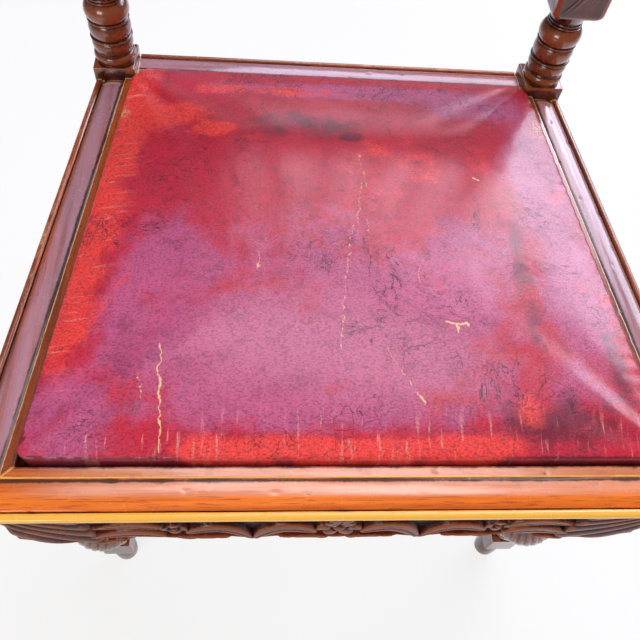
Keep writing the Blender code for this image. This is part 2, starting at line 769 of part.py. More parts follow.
def stretcher_turning(length, block):
    """A stretcher's turning about its own middle, with rings on each side of a
    plain stretch as long as the square block there."""
    rings = scaled_turning(RING_TURNING[4:7], STRETCHER_RADIUS / RING_RADIUS)
    swell = (length - 2 * turning_length(rings) - block) / 2
    elements = [("vase", swell, STRETCHER_END_RADIUS, STRETCHER_BELLY, STRETCHER_SHOULDER)]
    elements += rings
    elements.append(("straight", block, STRETCHER_WAIST, 0, STRETCHER_WAIST))
    elements += mirrored_turning(rings)
    elements.append(
        ("vase", swell, STRETCHER_SHOULDER, STRETCHER_BELLY, STRETCHER_END_RADIUS))
    return turned_points(-length / 2, elements)


def make_stretchers():
    """Two side stretchers and one across, whose ends meet flat faces."""
    height = FLOOR + STRETCHER_HEIGHT
    near = LEG_Y + STRETCHER_BLOCK / 2 + GAP
    share = (height - FLOOR) / (-POST_BLOCK_DEPTH - FLOOR)
    leg_y = REAR_FOOT_Y + (POST_Y - REAR_FOOT_Y) * share
    leg_side = REAR_LEG_FOOT + (POST_BLOCK - REAR_LEG_FOOT) * share
    far = leg_y - leg_side / 2 + STRETCHER_SPARE
    for side, label in ((-1, "left"), (1, "right")):
        start = Vector((side * LEG_X, near, height))
        end = Vector((side * POST_X, far, height))
        run = end - start
        angle = math.atan2(-run.x, run.y)
        middle = (start + end) / 2
        block = CROSS_BLOCK
        points = stretcher_turning(run.length + 2 * STRETCHER_SPARE, block)
        piece = turned_helper("side_stretcher_" + label, points, STRETCHER_SIDES, middle)
        piece.rotation_euler = (-math.pi / 2, 0, angle)
        cube = add_piece("stretcher_block_" + label,
                         box_mesh("block", (-block / 2,) * 3, (block / 2,) * 3), DARK_MAHOGANY)
        cube.location = middle
        cube.rotation_euler = (0, 0, angle)
        join_to(piece, (cube,))
        trim_stretcher(piece, label, side, near, share)
    points = stretcher_turning(LEG_X + POST_X, CROSS_MIDDLE)
    cross = turned_helper("cross_stretcher", points, STRETCHER_SIDES, (0, (near + far) / 2, height))
    cross.rotation_euler = (0, math.pi / 2, 0)
    for side, label in ((-1, "left"), (1, "right")):
        trim_cross(cross, side, label, near, far)


def trim_stretcher(piece, label, side, near, share):
    """Squares a side stretcher's ends off against the front leg and the rear leg."""
    x = side * (LEG_X + POST_X) / 2
    front = add_piece("trim_front_" + label, box_mesh(
        "trim", (x - TRIM_REACH, near - TRIM_REACH, FLOOR),
        (x + TRIM_REACH, near, FLOOR + TRIM_HEIGHT)), BEECH)
    lean = (REAR_FOOT_Y - POST_Y) / (SEAT_HEIGHT - POST_BLOCK_DEPTH)
    taper = (POST_BLOCK - REAR_LEG_FOOT) / 2 / (SEAT_HEIGHT - POST_BLOCK_DEPTH)
    face = REAR_FOOT_Y - REAR_LEG_FOOT / 2 - GAP
    slope = lean + taper
    shift = slope * TRIM_HEIGHT
    outline = [(face, 0), (face + TRIM_REACH, 0), (face + TRIM_REACH - shift, TRIM_HEIGHT),
               (face - shift, TRIM_HEIGHT)]
    bm = bmesh.new()
    low = [bm.verts.new((x - TRIM_REACH, y, FLOOR + z)) for y, z in outline]
    high = [bm.verts.new((x + TRIM_REACH, y, FLOOR + z)) for y, z in outline]
    for k in range(4):
        following = (k + 1) % 4
        bm.faces.new((low[k], low[following], high[following], high[k]))
    bm.faces.new(low)
    bm.faces.new(high)
    rear = add_piece("trim_rear_" + label, mesh_from(bm, "trim"), BEECH)
    for cutter in (front, rear):
        hide_helper(cutter)
        cut_from(piece, cutter)


def trim_cross(cross, side, label, near, far):
    """Squares the cross stretcher's end off against a side stretcher's block."""
    angle = math.atan2(side * (LEG_X - POST_X), far - near)
    middle = ((LEG_X + POST_X) / 2) * side
    cutter = add_piece("trim_cross_" + label, box_mesh(
        "trim", (-GAP - CROSS_BLOCK / 2, -TRIM_REACH, -TRIM_REACH), (TRIM_REACH,) * 3), BEECH)
    cutter.location = (middle, (near + far) / 2, FLOOR + STRETCHER_HEIGHT)
    cutter.rotation_euler = (0, 0, angle + (math.pi if side < 0 else 0))
    hide_helper(cutter)
    cut_from(cross, cutter)


# Back


def make_back():
    inner_low = POST_X - CARVED_BLOCK / 2 - GAP
    rail_low = LOWER_RAIL_START
    rail_high = rail_low + LOWER_RAIL_HEIGHT
    lower = add_piece(
        "lower_back_rail",
        box_mesh("lower", (-inner_low, POST_Y - LOWER_RAIL_THICKNESS / 2, rail_low),
                 (inner_low, POST_Y + LOWER_RAIL_THICKNESS / 2, rail_high)), DARK_MAHOGANY)
    ease_edges(lower, LOWER_RAIL_EASE)
    inner = POST_X - POST_HALF - GAP
    crest_low = TOP_BLOCK_START + CREST_START
    outline = [(-inner, crest_low), (inner, crest_low)]
    for k in range(CREST_STEPS + 1):
        x = inner - 2 * inner * k / CREST_STEPS
        share = abs(x) / inner
        rise = CREST_ARCH * (1 + math.cos(math.pi * share)) / 2
        outline.append((x, crest_low + CREST_HEIGHT + rise))
    crest = add_piece(
        "crest_rail",
        outline_mesh("crest", outline, -CREST_THICKNESS / 2, CREST_THICKNESS / 2, True),
        DARK_MAHOGANY, 0.35, BACK_ORIGIN)
    ease_edges(crest, CREST_EASE)
    make_spindles(rail_high, crest_low - GAP)
    for side, label in ((-1, "left"), (1, "right")):
        finial = turned_points(TOP_BLOCK_END + GAP, (
            ("straight", FINIAL_HEIGHT * FINIAL_PLATE_SHARE, FINIAL_BASE, 0, FINIAL_BASE),
            ("cove", FINIAL_HEIGHT * FINIAL_COVE_SHARE, FINIAL_RADIUS, FINIAL_NECK,
             FINIAL_NECK),
            ("barrel", FINIAL_HEIGHT * FINIAL_URN_SHARE, FINIAL_NECK, FINIAL_RADIUS,
             FINIAL_TIP),
            ("bead", FINIAL_HEIGHT * FINIAL_CAP_SHARE, FINIAL_TIP, FINIAL_CAP, FINIAL_POINT),
        ))
        turned_helper("finial_" + label, finial, STRETCHER_SIDES,
                      (side * POST_X, 0, 0), BACK_ORIGIN)


def make_spindles(rail_high, top):
    """Turned spindles from the lower rail's level top up to the crest rail."""
    floor_cut = add_piece("trim_spindles", box_mesh(
        "trim", (-POST_X, POST_Y - TRIM_REACH, rail_high - TRIM_REACH),
        (POST_X, POST_Y + TRIM_REACH, rail_high + GAP)), BEECH)
    hide_helper(floor_cut)
    start = rail_high - RAKE_PIVOT - SPINDLE_TENON
    spacing = 2 * (POST_X - POST_HALF) / (SPINDLE_COUNT + 1)
    points = spindle_turning(start, top - start)
    for k in range(SPINDLE_COUNT):
        x = (k - (SPINDLE_COUNT - 1) / 2) * spacing
        spindle = turned_helper("spindle_%d" % (k + 1), points, SPINDLE_SIDES, (x, 0, 0),
                                BACK_ORIGIN)
        cut_from(spindle, floor_cut)


def spindle_turning(start, length):
    """A spindle: small rings near each end and a long swell between."""
    rings = [
        ("bead", SPINDLE_RADIUS, SPINDLE_GROOVE, SPINDLE_RADIUS, SPINDLE_GROOVE),
        ("bead", SPINDLE_COLLAR_LENGTH, SPINDLE_GROOVE, SPINDLE_COLLAR, SPINDLE_GROOVE),
    ]
    middle = (length - 2 * SPINDLE_END - 2 * turning_length(rings)) / 2
    elements = [("straight", SPINDLE_END, SPINDLE_TIP, 0, SPINDLE_SHOULDER)] + rings
    elements.append(("vase", middle, SPINDLE_NECK, SPINDLE_BELLY, SPINDLE_WAIST))
    elements.append(("vase", middle, SPINDLE_WAIST, SPINDLE_TAPER, SPINDLE_NECK))
    elements += mirrored_turning(rings)
    elements.append(("straight", SPINDLE_END, SPINDLE_SHOULDER, 0, SPINDLE_TIP))
    return turned_points(start, elements)


# Loose seat

SEAT_EDGE = MOULDING_WIDTH + SEAT_CLEARANCE
SLIP_EDGE = SEAT_EDGE + LEATHER + GAP
COVER_LOW = RAIL_TOP + GAP
SLIP_LOW = COVER_LOW + LEATHER + GAP
SLIP_HIGH = SLIP_LOW + SLIP_THICKNESS
WEB_LOW = SLIP_HIGH + GAP
CROSS_WEB_LOW = WEB_LOW + WEB_THICKNESS + GAP
HESSIAN_LOW = CROSS_WEB_LOW + WEB_THICKNESS + GAP
PAD_LOW = HESSIAN_LOW + HESSIAN + GAP


def seat_outline_side(offset):
    """One side of the slip frame's outline, set in by offset, from the front edge
    round the clipped corners to the rear edge."""
    front, rear = FRONT_Y + offset, REAR_Y - offset
    return [(half_width(front, offset) - SLIP_FRONT_CLIP, front),
            (half_width(front + SLIP_FRONT_CLIP, offset), front + SLIP_FRONT_CLIP),
            (half_width(rear - SLIP_REAR_CLIP, offset), rear - SLIP_REAR_CLIP),
            (half_width(rear, offset) - SLIP_REAR_CLIP, rear)]


def make_slip_frame():
    """The beech frame that the leather is stretched over."""
    front, rear = FRONT_Y + SLIP_EDGE, REAR_Y - SLIP_EDGE
    inner = SLIP_EDGE + SLIP_WIDTH
    for side, label in ((-1, "left"), (1, "right")):
        outline = [(side * x, y) for x, y in seat_outline_side(SLIP_EDGE)]
        outline += [(side * half_width(rear, inner), rear), (side * half_width(front, inner), front)]
        add_piece("slip_rail_" + label, outline_mesh("slip", outline, SLIP_LOW, SLIP_HIGH), BEECH, 0.6)
    for low, high, label in ((front, front + SLIP_WIDTH, "front"), (rear - SLIP_WIDTH, rear, "rear")):
        outline = [(-half_width(low, inner) + GAP, low), (half_width(low, inner) - GAP, low),
                   (half_width(high, inner) - GAP, high), (-half_width(high, inner) + GAP, high)]
        add_piece("slip_rail_" + label, outline_mesh("slip", outline, SLIP_LOW, SLIP_HIGH), BEECH, 0.6)


def make_webbing():
    """Straps over the slip frame: front to back first, then side to side over them."""
    front, rear = FRONT_Y + SLIP_EDGE + WEB_INSET, REAR_Y - SLIP_EDGE - WEB_INSET
    for k in range(WEB_COUNT):
        place = (k - (WEB_COUNT - 1) / 2) * WEB_SPACING
        low, high = place - WEB_WIDTH / 2, place + WEB_WIDTH / 2
        add_piece("web_long_%d" % (k + 1), box_mesh(
            "web", (low, front, WEB_LOW), (high, rear, WEB_LOW + WEB_THICKNESS)), JUTE, 0.9)
        reach = half_width(high, SLIP_EDGE + WEB_INSET)
        add_piece("web_cross_%d" % (k + 1), box_mesh(
            "web", (-reach, low, CROSS_WEB_LOW), (reach, high, CROSS_WEB_LOW + WEB_THICKNESS)),
            JUTE, 0.9)
    right = seat_outline_side(SLIP_EDGE + HESSIAN_INSET)
    outline = right + [(-x, y) for x, y in reversed(right)]
    add_piece("seat_hessian", outline_mesh(
        "hessian", outline, HESSIAN_LOW, HESSIAN_LOW + HESSIAN), JUTE, 0.9)


CAGE_LINES = (-1.0, -0.95, -0.76, 0.0, 0.76, 0.95, 1.0)


def cage_point(a, b, offset, edge, crown):
    """A point of the cushion's top: a and b run -1 to 1 over the clipped outline."""
    front, rear = FRONT_Y + offset, REAR_Y - offset
    y = front + (rear - front) * (b + 1) / 2
    x = a * half_width(y, offset)
    if abs(a) == 1 and b == 1:
        x -= math.copysign(CORNER_CLIP_STEP, a)
        y -= CORNER_CLIP_STEP
    rise = ((1 - a * a) * (1 - b * b)) ** CROWN_POWER
    return Vector((x, y, edge + crown * rise))


def cushion_cage(offset, edge, crown, rows, closed):
    """Coarse cage of a cushion: its crowned top, then one ring of wall for each
    (inset, height) in rows, and a bottom when it is closed."""
    bm = bmesh.new()
    count = len(CAGE_LINES)
    top = {}
    for i, a in enumerate(CAGE_LINES):
        for j, b in enumerate(CAGE_LINES):
            top[i, j] = bm.verts.new(cage_point(a, b, offset, edge, crown))
    for i in range(count - 1):
        for j in range(count - 1):
            bm.faces.new((top[i, j], top[i + 1, j], top[i + 1, j + 1], top[i, j + 1]))
    last = count - 1
    border = [(i, 0) for i in range(last)] + [(last, j) for j in range(last)]
    border += [(i, last) for i in range(last, 0, -1)] + [(0, j) for j in range(last, 0, -1)]
    ring = [top[key] for key in border]
    for inset, height in rows:
        lower = []
        for i, j in border:
            place = cage_point(CAGE_LINES[i], CAGE_LINES[j], offset + inset, 0, 0)
            lower.append(bm.verts.new((place.x, place.y, height)))
        for k in range(len(ring)):
            following = (k + 1) % len(ring)
            bm.faces.new((ring[k], lower[k], lower[following], ring[following]))
        ring = lower
    if closed:
        under = dict(zip(border, ring))
        for i in range(1, last):
            for j in range(1, last):
                co = top[i, j].co
                under[i, j] = bm.verts.new((co.x, co.y, rows[-1][1]))
        for i in range(last):
            for j in range(last):
                bm.faces.new((under[i, j], under[i, j + 1], under[i + 1, j + 1], under[i + 1, j]))
    return bm


def soften(piece, levels=1):
    smooth = piece.modifiers.new("soft form", "SUBSURF")
    smooth.levels = levels
    smooth.render_levels = levels


def make_cushion():
    """The stuffed pad, and the leather over it, down the frame's edge and under it."""
    pad_edge = EDGE_HEIGHT - PAD_EDGE_DROP
    bm = cushion_cage(SEAT_EDGE + PAD_INSET, pad_edge, CROWN, ((0, PAD_LOW),), True)
    pad = add_piece("seat_pad", mesh_from(bm, "pad"), HORSEHAIR, 0.9)
    soften(pad)
    rows = (
        (0, EDGE_HEIGHT - COVER_ROLL),
        (0, COVER_LOW + TURN_ROLL),
        (0, COVER_LOW),
        (TURN_ROLL, COVER_LOW),
        (TURN_UNDER, COVER_LOW),
    )
    bm = cushion_cage(SEAT_EDGE, EDGE_HEIGHT, CROWN, rows, False)
    cover = add_piece("seat_cover", mesh_from(bm, "cover"), RED_LEATHER, 0.3)
    soften(cover)
    shell = cover.modifiers.new("leather", "SOLIDIFY")
    shell.thickness = LEATHER
    shell.offset = -1
    shell.use_even_offset = True


make_back_post(-1, "left")
make_back_post(1, "right")
make_front_leg(-1, "left")
make_front_leg(1, "right")
make_mouldings()
make_rails()
make_bearers()
make_corner_blocks()
make_stretchers()
make_back()
make_slip_frame()
make_webbing()
make_cushion()
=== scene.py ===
"""Finishes a side chair round its packed solids: polished and worn mahogany, ring-turned
posts, a carved apron and a loose seat in cracked red leather, with the stage round it.
Metres, +Z up, the front towards -Y."""

import math

import bmesh
import bpy
import numpy as np
from mathutils import Matrix, Vector, noise


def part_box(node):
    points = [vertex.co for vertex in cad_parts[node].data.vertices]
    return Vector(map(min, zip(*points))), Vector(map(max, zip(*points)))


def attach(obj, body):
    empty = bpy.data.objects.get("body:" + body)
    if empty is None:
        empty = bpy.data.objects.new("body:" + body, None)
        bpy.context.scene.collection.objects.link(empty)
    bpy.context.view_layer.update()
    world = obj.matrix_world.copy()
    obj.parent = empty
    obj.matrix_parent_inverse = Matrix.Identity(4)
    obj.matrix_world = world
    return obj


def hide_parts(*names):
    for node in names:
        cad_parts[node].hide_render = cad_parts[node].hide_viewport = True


bl_info = {
    "name": "Side chair",
    "version": (1, 0, 0),
    "blender": (4, 5, 0),
    "location": "View3D > Sidebar > Side chair",
    "description": "Builds a ring-turned side chair with a loose leather seat",
    "category": "Object",
}

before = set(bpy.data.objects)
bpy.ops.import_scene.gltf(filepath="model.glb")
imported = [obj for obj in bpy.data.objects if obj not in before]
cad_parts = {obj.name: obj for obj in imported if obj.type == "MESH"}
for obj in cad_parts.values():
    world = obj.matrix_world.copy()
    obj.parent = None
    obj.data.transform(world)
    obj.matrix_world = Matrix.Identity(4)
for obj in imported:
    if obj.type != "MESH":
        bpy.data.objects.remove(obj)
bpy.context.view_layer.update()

# The solids' own sizes, which the pieces here keep to
FRONT_WIDTH = 0.500
REAR_WIDTH = 0.420
SEAT_DEPTH = 0.432
FRONT_Y = -SEAT_DEPTH / 2
REAR_Y = SEAT_DEPTH / 2
SIDE_ANGLE = math.atan((FRONT_WIDTH - REAR_WIDTH) / 2 / SEAT_DEPTH)
BEAD_WIDTH = 0.0060
THUMB_WIDTH = 0.0200
FILLET_WIDTH = 0.0075
MOULDING_WIDTH = BEAD_WIDTH + THUMB_WIDTH + FILLET_WIDTH
MOULDING_THICKNESS = 0.0220
UNDERCUT = 0.0160
GAP = 0.0003
RAIL_TOP = -MOULDING_THICKNESS - GAP
RAIL_SETBACK = 0.0080
APRON_FRONT = FRONT_Y + 0.0210
APRON_BACK = APRON_FRONT + 0.0217
APRON_DEPTH = 0.1120
APRON_END_SETBACK = 0.0006
APRON_EAR_DROP = 0.0150
APRON_EAR_LENGTH = 0.0900
LEG_BLOCK = 0.0400
LEG_BLOCK_DEPTH = 0.1300
LEG_BULB_RADIUS = 0.0350
LEG_BULB_HEIGHT = 0.1480
BULB_HALF = 0.0300
STRETCHER_HEIGHT = 0.0660
STRETCHER_BLOCK = 0.0320
STRETCHER_BLOCK_DEPTH = 0.0400
FOOT_RADIUS = 0.0130
POST_BLOCK = 0.0360
POST_BLOCK_DEPTH = 0.1300
PLINTH_HEIGHT = 0.0090
CARVED_BLOCK = 0.0455
CARVED_BLOCK_START = 0.0820
CARVED_BLOCK_HEIGHT = 0.0530
COLUMN_LENGTH = 0.3450
TOP_BLOCK_HEIGHT = 0.0780
BACK_RAKE = math.radians(6.0)
REAR_LEG_FOOT = 0.0310
REAR_LEG_SPLAY = 0.0480
LOWER_RAIL_START = 0.0950
LOWER_RAIL_HEIGHT = 0.0370
LOWER_RAIL_THICKNESS = 0.0210
CREST_START = 0.0080
CREST_THICKNESS = 0.0240
CREST_HEIGHT = 0.0620
CREST_ARCH = 0.0420
SPINDLE_COUNT = 5
SPINDLE_RADIUS = 0.0085
SPINDLE_END = 0.0280
STRETCHER_RADIUS = 0.0140
STRETCHER_END_RADIUS = 0.0095
STRETCHER_SPARE = 0.0100
CROSS_BLOCK = 0.0280
CROSS_MIDDLE = 0.0020
RING_RADIUS = 0.0180
COLUMN_RADIUS = 0.0172
FINIAL_HEIGHT = 0.0520
FINIAL_RADIUS = 0.0150
LEATHER = 0.0014
SEAT_EDGE = MOULDING_WIDTH + 0.0014
SLIP_EDGE = SEAT_EDGE + LEATHER + GAP
SLIP_HIGH = -0.0030
WEB_WIDTH = 0.0480
WEB_THICKNESS = 0.0015
WEB_SPACING = 0.0850
WEB_INSET = 0.0120
HESSIAN_INSET = 0.0040
HESSIAN_LOW = 0.0009
BEARER_DEPTH = 0.0180
CORNER_BLOCK_LEG = 0.0420
CORNER_BLOCK_DEPTH = 0.0400
RAIL_THICKNESS = 0.0220
APRON_LEAVES = ((0.0, 0.022, 0.006), (0.066, 0.024, 0.005), (0.126, 0.020, 0.0035))


def half_width(y, offset=0.0):
    """Half the seat's width at y, on a line set in by offset from the moulding's edge."""
    share = (y - FRONT_Y) / SEAT_DEPTH
    outer = (FRONT_WIDTH + (REAR_WIDTH - FRONT_WIDTH) * share) / 2
    return outer - offset / math.cos(SIDE_ANGLE)


FRONT_RAIL_THICKNESS = 0.0190
LEG_Y = APRON_BACK + GAP + FRONT_RAIL_THICKNESS + GAP + LEG_BLOCK / 2
LEG_X = half_width(LEG_Y) - 0.0258
POST_Y = REAR_Y - POST_BLOCK / 2 - 0.0027
POST_X = half_width(POST_Y - POST_BLOCK / 2) - POST_BLOCK / 2 + 0.0006
POST_FRONT = POST_Y - POST_BLOCK / 2
RAKE_PIVOT = CARVED_BLOCK_START + CARVED_BLOCK_HEIGHT - 0.010
REAR_FOOT_Y = POST_Y + REAR_LEG_SPLAY
APRON_HALF = half_width(APRON_FRONT, APRON_END_SETBACK)

SIDES = ((-1, "left"), (1, "right"))

# Pieces are drawn about the seat's middle at the moulding's top, then moved to the frame
MOULDING_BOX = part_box("moulding_front")
SEAT = Vector((0.0, MOULDING_BOX[0].y - FRONT_Y, MOULDING_BOX[1].z))
FLOOR = -SEAT.z
TO_FRAME = Matrix.Translation(SEAT)
LEAN = Matrix.Translation((0, POST_Y, RAKE_PIVOT)) @ Matrix.Rotation(-BACK_RAKE, 4, "X")


def linear(red, green, blue):
    """A colour given in screen values from 0 to 255, as the shaders take it."""
    out = []
    for value in (red, green, blue):
        share = value / 255
        out.append(share / 12.92 if share < 0.04045 else ((share + 0.055) / 1.055) ** 2.4)
    return (*out, 1.0)


# Settings that a user would change


def length_setting(name, description, default):
    return bpy.props.FloatProperty(
        name=name, description=description, default=default, unit="LENGTH",
        subtype="DISTANCE", precision=4)


def colour_setting(name, description, default):
    return bpy.props.FloatVectorProperty(
        name=name, description=description, default=default[:3], size=3, min=0.0,
        max=1.0, subtype="COLOR")


class ChairWoodSettings(bpy.types.PropertyGroup):
    moulding: colour_setting(
        "Moulding", "Polished wood of the seat's moulding", linear(178, 84, 34))
    moulding_dark: colour_setting(
        "Moulding streaks", "Dark streaks in the moulding's wood", linear(98, 38, 16))
    turned: colour_setting("Turned wood", "Posts, legs and back", linear(94, 32, 18))
    turned_dark: colour_setting(
        "Turned wood streaks", "Dark streaks in the posts, legs and back", linear(30, 9, 7))
    # The front moulding's colours are a lit copy of the moulding's wood, painted brighter where
    # light falls on it.
    front: colour_setting(
        "Lit front moulding", "Sun-bleached wood of the front moulding", linear(254, 134, 40))
    front_lit_dark: colour_setting(
        "Lit front streaks", "Dark streaks in the front moulding", linear(176, 74, 26))
    front_lit_worn: colour_setting(
        "Lit front worn wood", "Rubbed edges of the front moulding", linear(255, 198, 82))
    # Painted highlight on the top of the front moulding, laid into its colour.
    painted_sheen: colour_setting(
        "Painted highlight", "Faded top of the front moulding", linear(240, 174, 146))
    # Painted reflection: a lavender sheen on the side and rear mouldings, laid into their colour.
    painted_reflection: colour_setting(
        "Painted reflection", "Milky bloom on the side and rear mouldings", linear(196, 158, 184))
    rubbed: colour_setting(
        "Rubbed arrises", "Pale arrises of the side and rear mouldings", linear(240, 196, 144))
    worn: colour_setting("Worn edges", "Bare wood where edges are rubbed", linear(206, 112, 56))
    # Grime in the hollows, which also paints the shade there.
    grime_and_shade: colour_setting("Grime", "Old wax and dust in the hollows", linear(24, 12, 10))
    dent_depth: length_setting("Dent depth", "Depth of the knocks in the mouldings", 0.00045)
    carving: length_setting("Carving relief", "Height of the carving on the apron", 0.0065)
    flutes: bpy.props.IntProperty(
        name="Bulb ribs", description="Ribs round each front leg's bulb", default=28)


class ChairLeatherSettings(bpy.types.PropertyGroup):
    red: colour_setting("Red", "The dyed leather", linear(206, 36, 62))
    bright: colour_setting("Rubbed red", "Brighter leather along the edges", linear(255, 72, 64))
    # Mauve bloom, which is partly a painted reflection.
    bloom: colour_setting("Bloom and sheen", "Mauve bloom where the polish has dulled",
                          linear(198, 92, 140))
    # Stains, and the painted shade on the leather's drop sides.
    stain: colour_setting("Stain and shade", "Darkened leather", linear(106, 20, 44))
    crack: colour_setting("Cracks", "Dark lines of the cracked finish", linear(74, 18, 52))
    bare: colour_setting("Bare leather", "Where the finish is gone", linear(236, 196, 150))
    edge_height: length_setting("Edge height", "Leather's edge above the moulding", 0.0110)
    crown: length_setting("Crown", "Rise of the middle above the edge", 0.0165)
    wrinkle: length_setting("Wrinkles", "Depth of the folds along the front edge", 0.0006)


class ChairStageSettings(bpy.types.PropertyGroup):
    lens: bpy.props.FloatProperty(
        name="Lens", description="Focal length on a 36 mm sensor", default=38.44,
        unit="CAMERA")
    place: bpy.props.FloatVectorProperty(
        name="Camera place", description="Where the camera stands",
        default=(-0.0627, -0.3514, 0.8505), unit="LENGTH", subtype="TRANSLATION")
    floor: colour_setting("Floor", "Colour of the floor", (0.92, 0.92, 0.92))


# Shader building


def fill(node, values):
    """Fills a node's inputs from numbers, or by links from sockets and their values."""
    for key, value in values.items():
        value = getattr(value, "source", value)
        if isinstance(value, bpy.types.NodeSocket):
            node.id_data.links.new(value, node.inputs[key])
        else:
            node.inputs[key].default_value = value
    return node


def put(tree, kind, values=None, **properties):
    """Adds a node, sets its properties, fills its inputs, and gives its outputs."""
    made = tree.nodes.new(kind)
    for key, value in properties.items():
        setattr(made, key, value)
    return fill(made, values or {}).outputs


class Value:
    """A number from a socket. Arithmetic on it adds nodes to the socket's tree."""
    node_kind = "ShaderNodeMath"

    def __init__(self, source):
        self.source, self.tree = source, source.id_data

    def made(self, operation, *given, result=0):
        return put(self.tree, self.node_kind, dict(enumerate(given)),
                   operation=operation)[result]

    def __add__(self, other):
        return type(self)(self.made("ADD", self, other))

    def __sub__(self, other):
        return type(self)(self.made("SUBTRACT", self, other))

    def __rsub__(self, other):
        return type(self)(self.made("SUBTRACT", other, self))

    def __mul__(self, other):
        return type(self)(self.made("MULTIPLY", self, other))

    def __truediv__(self, other):
        return Value(self.made("DIVIDE", self, other))

    def __floordiv__(self, other):
        return Value(self.made("FLOOR", self / other))

    def __mod__(self, other):
        return Value(self.made("FLOORED_MODULO", self, other))

    def __abs__(self):
        return Value(self.made("ABSOLUTE", self))

    def sine(self):
        return Value(self.made("SINE", self))

    def clamped(self):
        """Keeps the last result between 0 and 1."""
        self.source.node.use_clamp = True
        return self

    def step(self, low, high, start=0.0):
        """A smooth step from start, at low, to 1, at high."""
        return Value(put(self.tree, "ShaderNodeMapRange", {
            "Value": self, "From Min": low, "From Max": high, "To Min": start},
            interpolation_type="SMOOTHSTEP")[0])

    def between(self, first, second):
        """The colour this share of the way from the first to the second."""
        return put(self.tree, "ShaderNodeMix", {0: self, 6: first, 7: second},
                   data_type="RGBA")[2]


class Place(Value):
    """A vector from a socket, whose arithmetic runs on its three parts."""
    node_kind = "ShaderNodeVectorMath"

    def dot(self, other):
        return Value(self.made("DOT_PRODUCT", self, other, result=1))

    def length(self):
        return Value(self.made("LENGTH", self, result=1))

    def scaled(self, scale):
        return Place(put(self.tree, self.node_kind, {0: self, "Scale": scale},
                         operation="SCALE")[0])

    def noise(self, scale, detail=3.0, roughness=0.55, distortion=0.0):
        return Value(put(self.tree, "ShaderNodeTexNoise", {
            "Vector": self, "Scale": scale, "Detail": detail, "Roughness": roughness,
            "Distortion": distortion})["Fac"])

    def drift(self, scale):
        """A direction that wanders about from place to place, each part about 0."""
        noisy = put(self.tree, "ShaderNodeTexNoise",
                    {"Vector": self, "Scale": scale, "Detail": 3.0})["Color"]
        return Place(noisy) - (0.5, 0.5, 0.5)

    def cells(self, scale, feature="F1"):
        return put(self.tree, "ShaderNodeTexVoronoi", {"Vector": self, "Scale": scale},
                   feature=feature)


def greatest(values):
    """The greatest of several values at each point."""
    found, *others = values
    for value in others:
        found = Value(found.made("MAXIMUM", found, value))
    return found


FLOAT, COLOUR, VECTOR = "NodeSocketFloat", "NodeSocketColor", "NodeSocketVector"
GREY = (0.5, 0.5, 0.5, 1.0)


def new_group(name, inputs, outputs):
    """A shader group with the named sockets, its given values and its output node."""
    group = bpy.data.node_groups.new(name, "ShaderNodeTree")
    for label, kind, default in inputs:
        socket = group.interface.new_socket(label, in_out="INPUT", socket_type=kind)
        if default is not None:
            socket.default_value = default
    for label, kind in outputs:
        group.interface.new_socket(label, in_out="OUTPUT", socket_type=kind)
    sockets = group.nodes.new("NodeGroupInput").outputs
    given = [(Place if kind == VECTOR else Value)(sockets[label]) for label, kind, _ in inputs]
    return given, group.nodes.new("NodeGroupOutput")


def grain_group():
    """Figured mahogany: long soft bands, fine streaks and short dark pores."""
    (place, grain, light, dark, figure), out = new_group(
        "wood_grain",
        (("Place", VECTOR, None), ("Grain", VECTOR, (1.0, 1.0, 1.0)), ("Light", COLOUR, GREY),
         ("Dark", COLOUR, GREY), ("Figure", FLOAT, 0.6)),
        (("Colour", COLOUR), ("Pores", FLOAT)))
    along = place * grain
    bands, streaks = along.noise(34.0, 4.0, 0.6, 0.8), along.noise(210.0, 5.0, 0.65, 0.2)
    cloud = place.noise(9.0, 2.0, 0.5)
    shade = (bands * 0.55 + streaks * 0.30 + cloud * 0.22).step(0.40, 0.66) * figure
    pores = along.noise(1300.0, 2.0, 0.5).step(0.57, 0.64)
    colour = (pores * 0.70).between(shade.between(light, dark), dark)
    fill(out, {"Colour": colour, "Pores": pores})


def age_group():
    """Rubbed edges, waxed-in grime, small pale knocks and a patchy polish."""
    (place, colour, relief, worn, grime_and_shade, wear, soil_and_shade, gloss), out = new_group(
        "aged_polish",
        (("Place", VECTOR, None), ("Colour", COLOUR, GREY), ("Relief", FLOAT, 0.0),
         ("Worn", COLOUR, GREY), ("Grime", COLOUR, GREY), ("Wear", FLOAT, 0.5),
         ("Soil", FLOAT, 0.7), ("Gloss", FLOAT, 0.25)),
        (("Colour", COLOUR), ("Roughness", FLOAT), ("Height", FLOAT)))
    patches, fine = place.noise(55.0, 4.0, 0.6), place.noise(420.0, 3.0, 0.6)
    uneven = patches * 0.9 + fine * 0.5 - 0.70
    rubbed = (relief + uneven).step(0.28, 0.80) * wear
    soiled_and_shaded = (uneven - relief).step(0.05, 0.65) * soil_and_shade
    cells = place.cells(95.0)
    chance = Value(put(place.tree, "ShaderNodeSeparateColor", {0: cells["Color"]})[0])
    specks = Value(cells["Distance"]).step(0.085, 0.05) * chance.step(0.90, 0.93)
    for share, tint in ((rubbed, worn), (soiled_and_shaded, grime_and_shade), (specks * 0.6, worn)):
        colour = share.between(colour, tint)
    rough = (gloss + (patches - 0.5) * 0.30 + soiled_and_shaded * 0.35).clamped()
    fill(out, {"Colour": colour, "Roughness": rough, "Height": patches * 0.35 - specks})


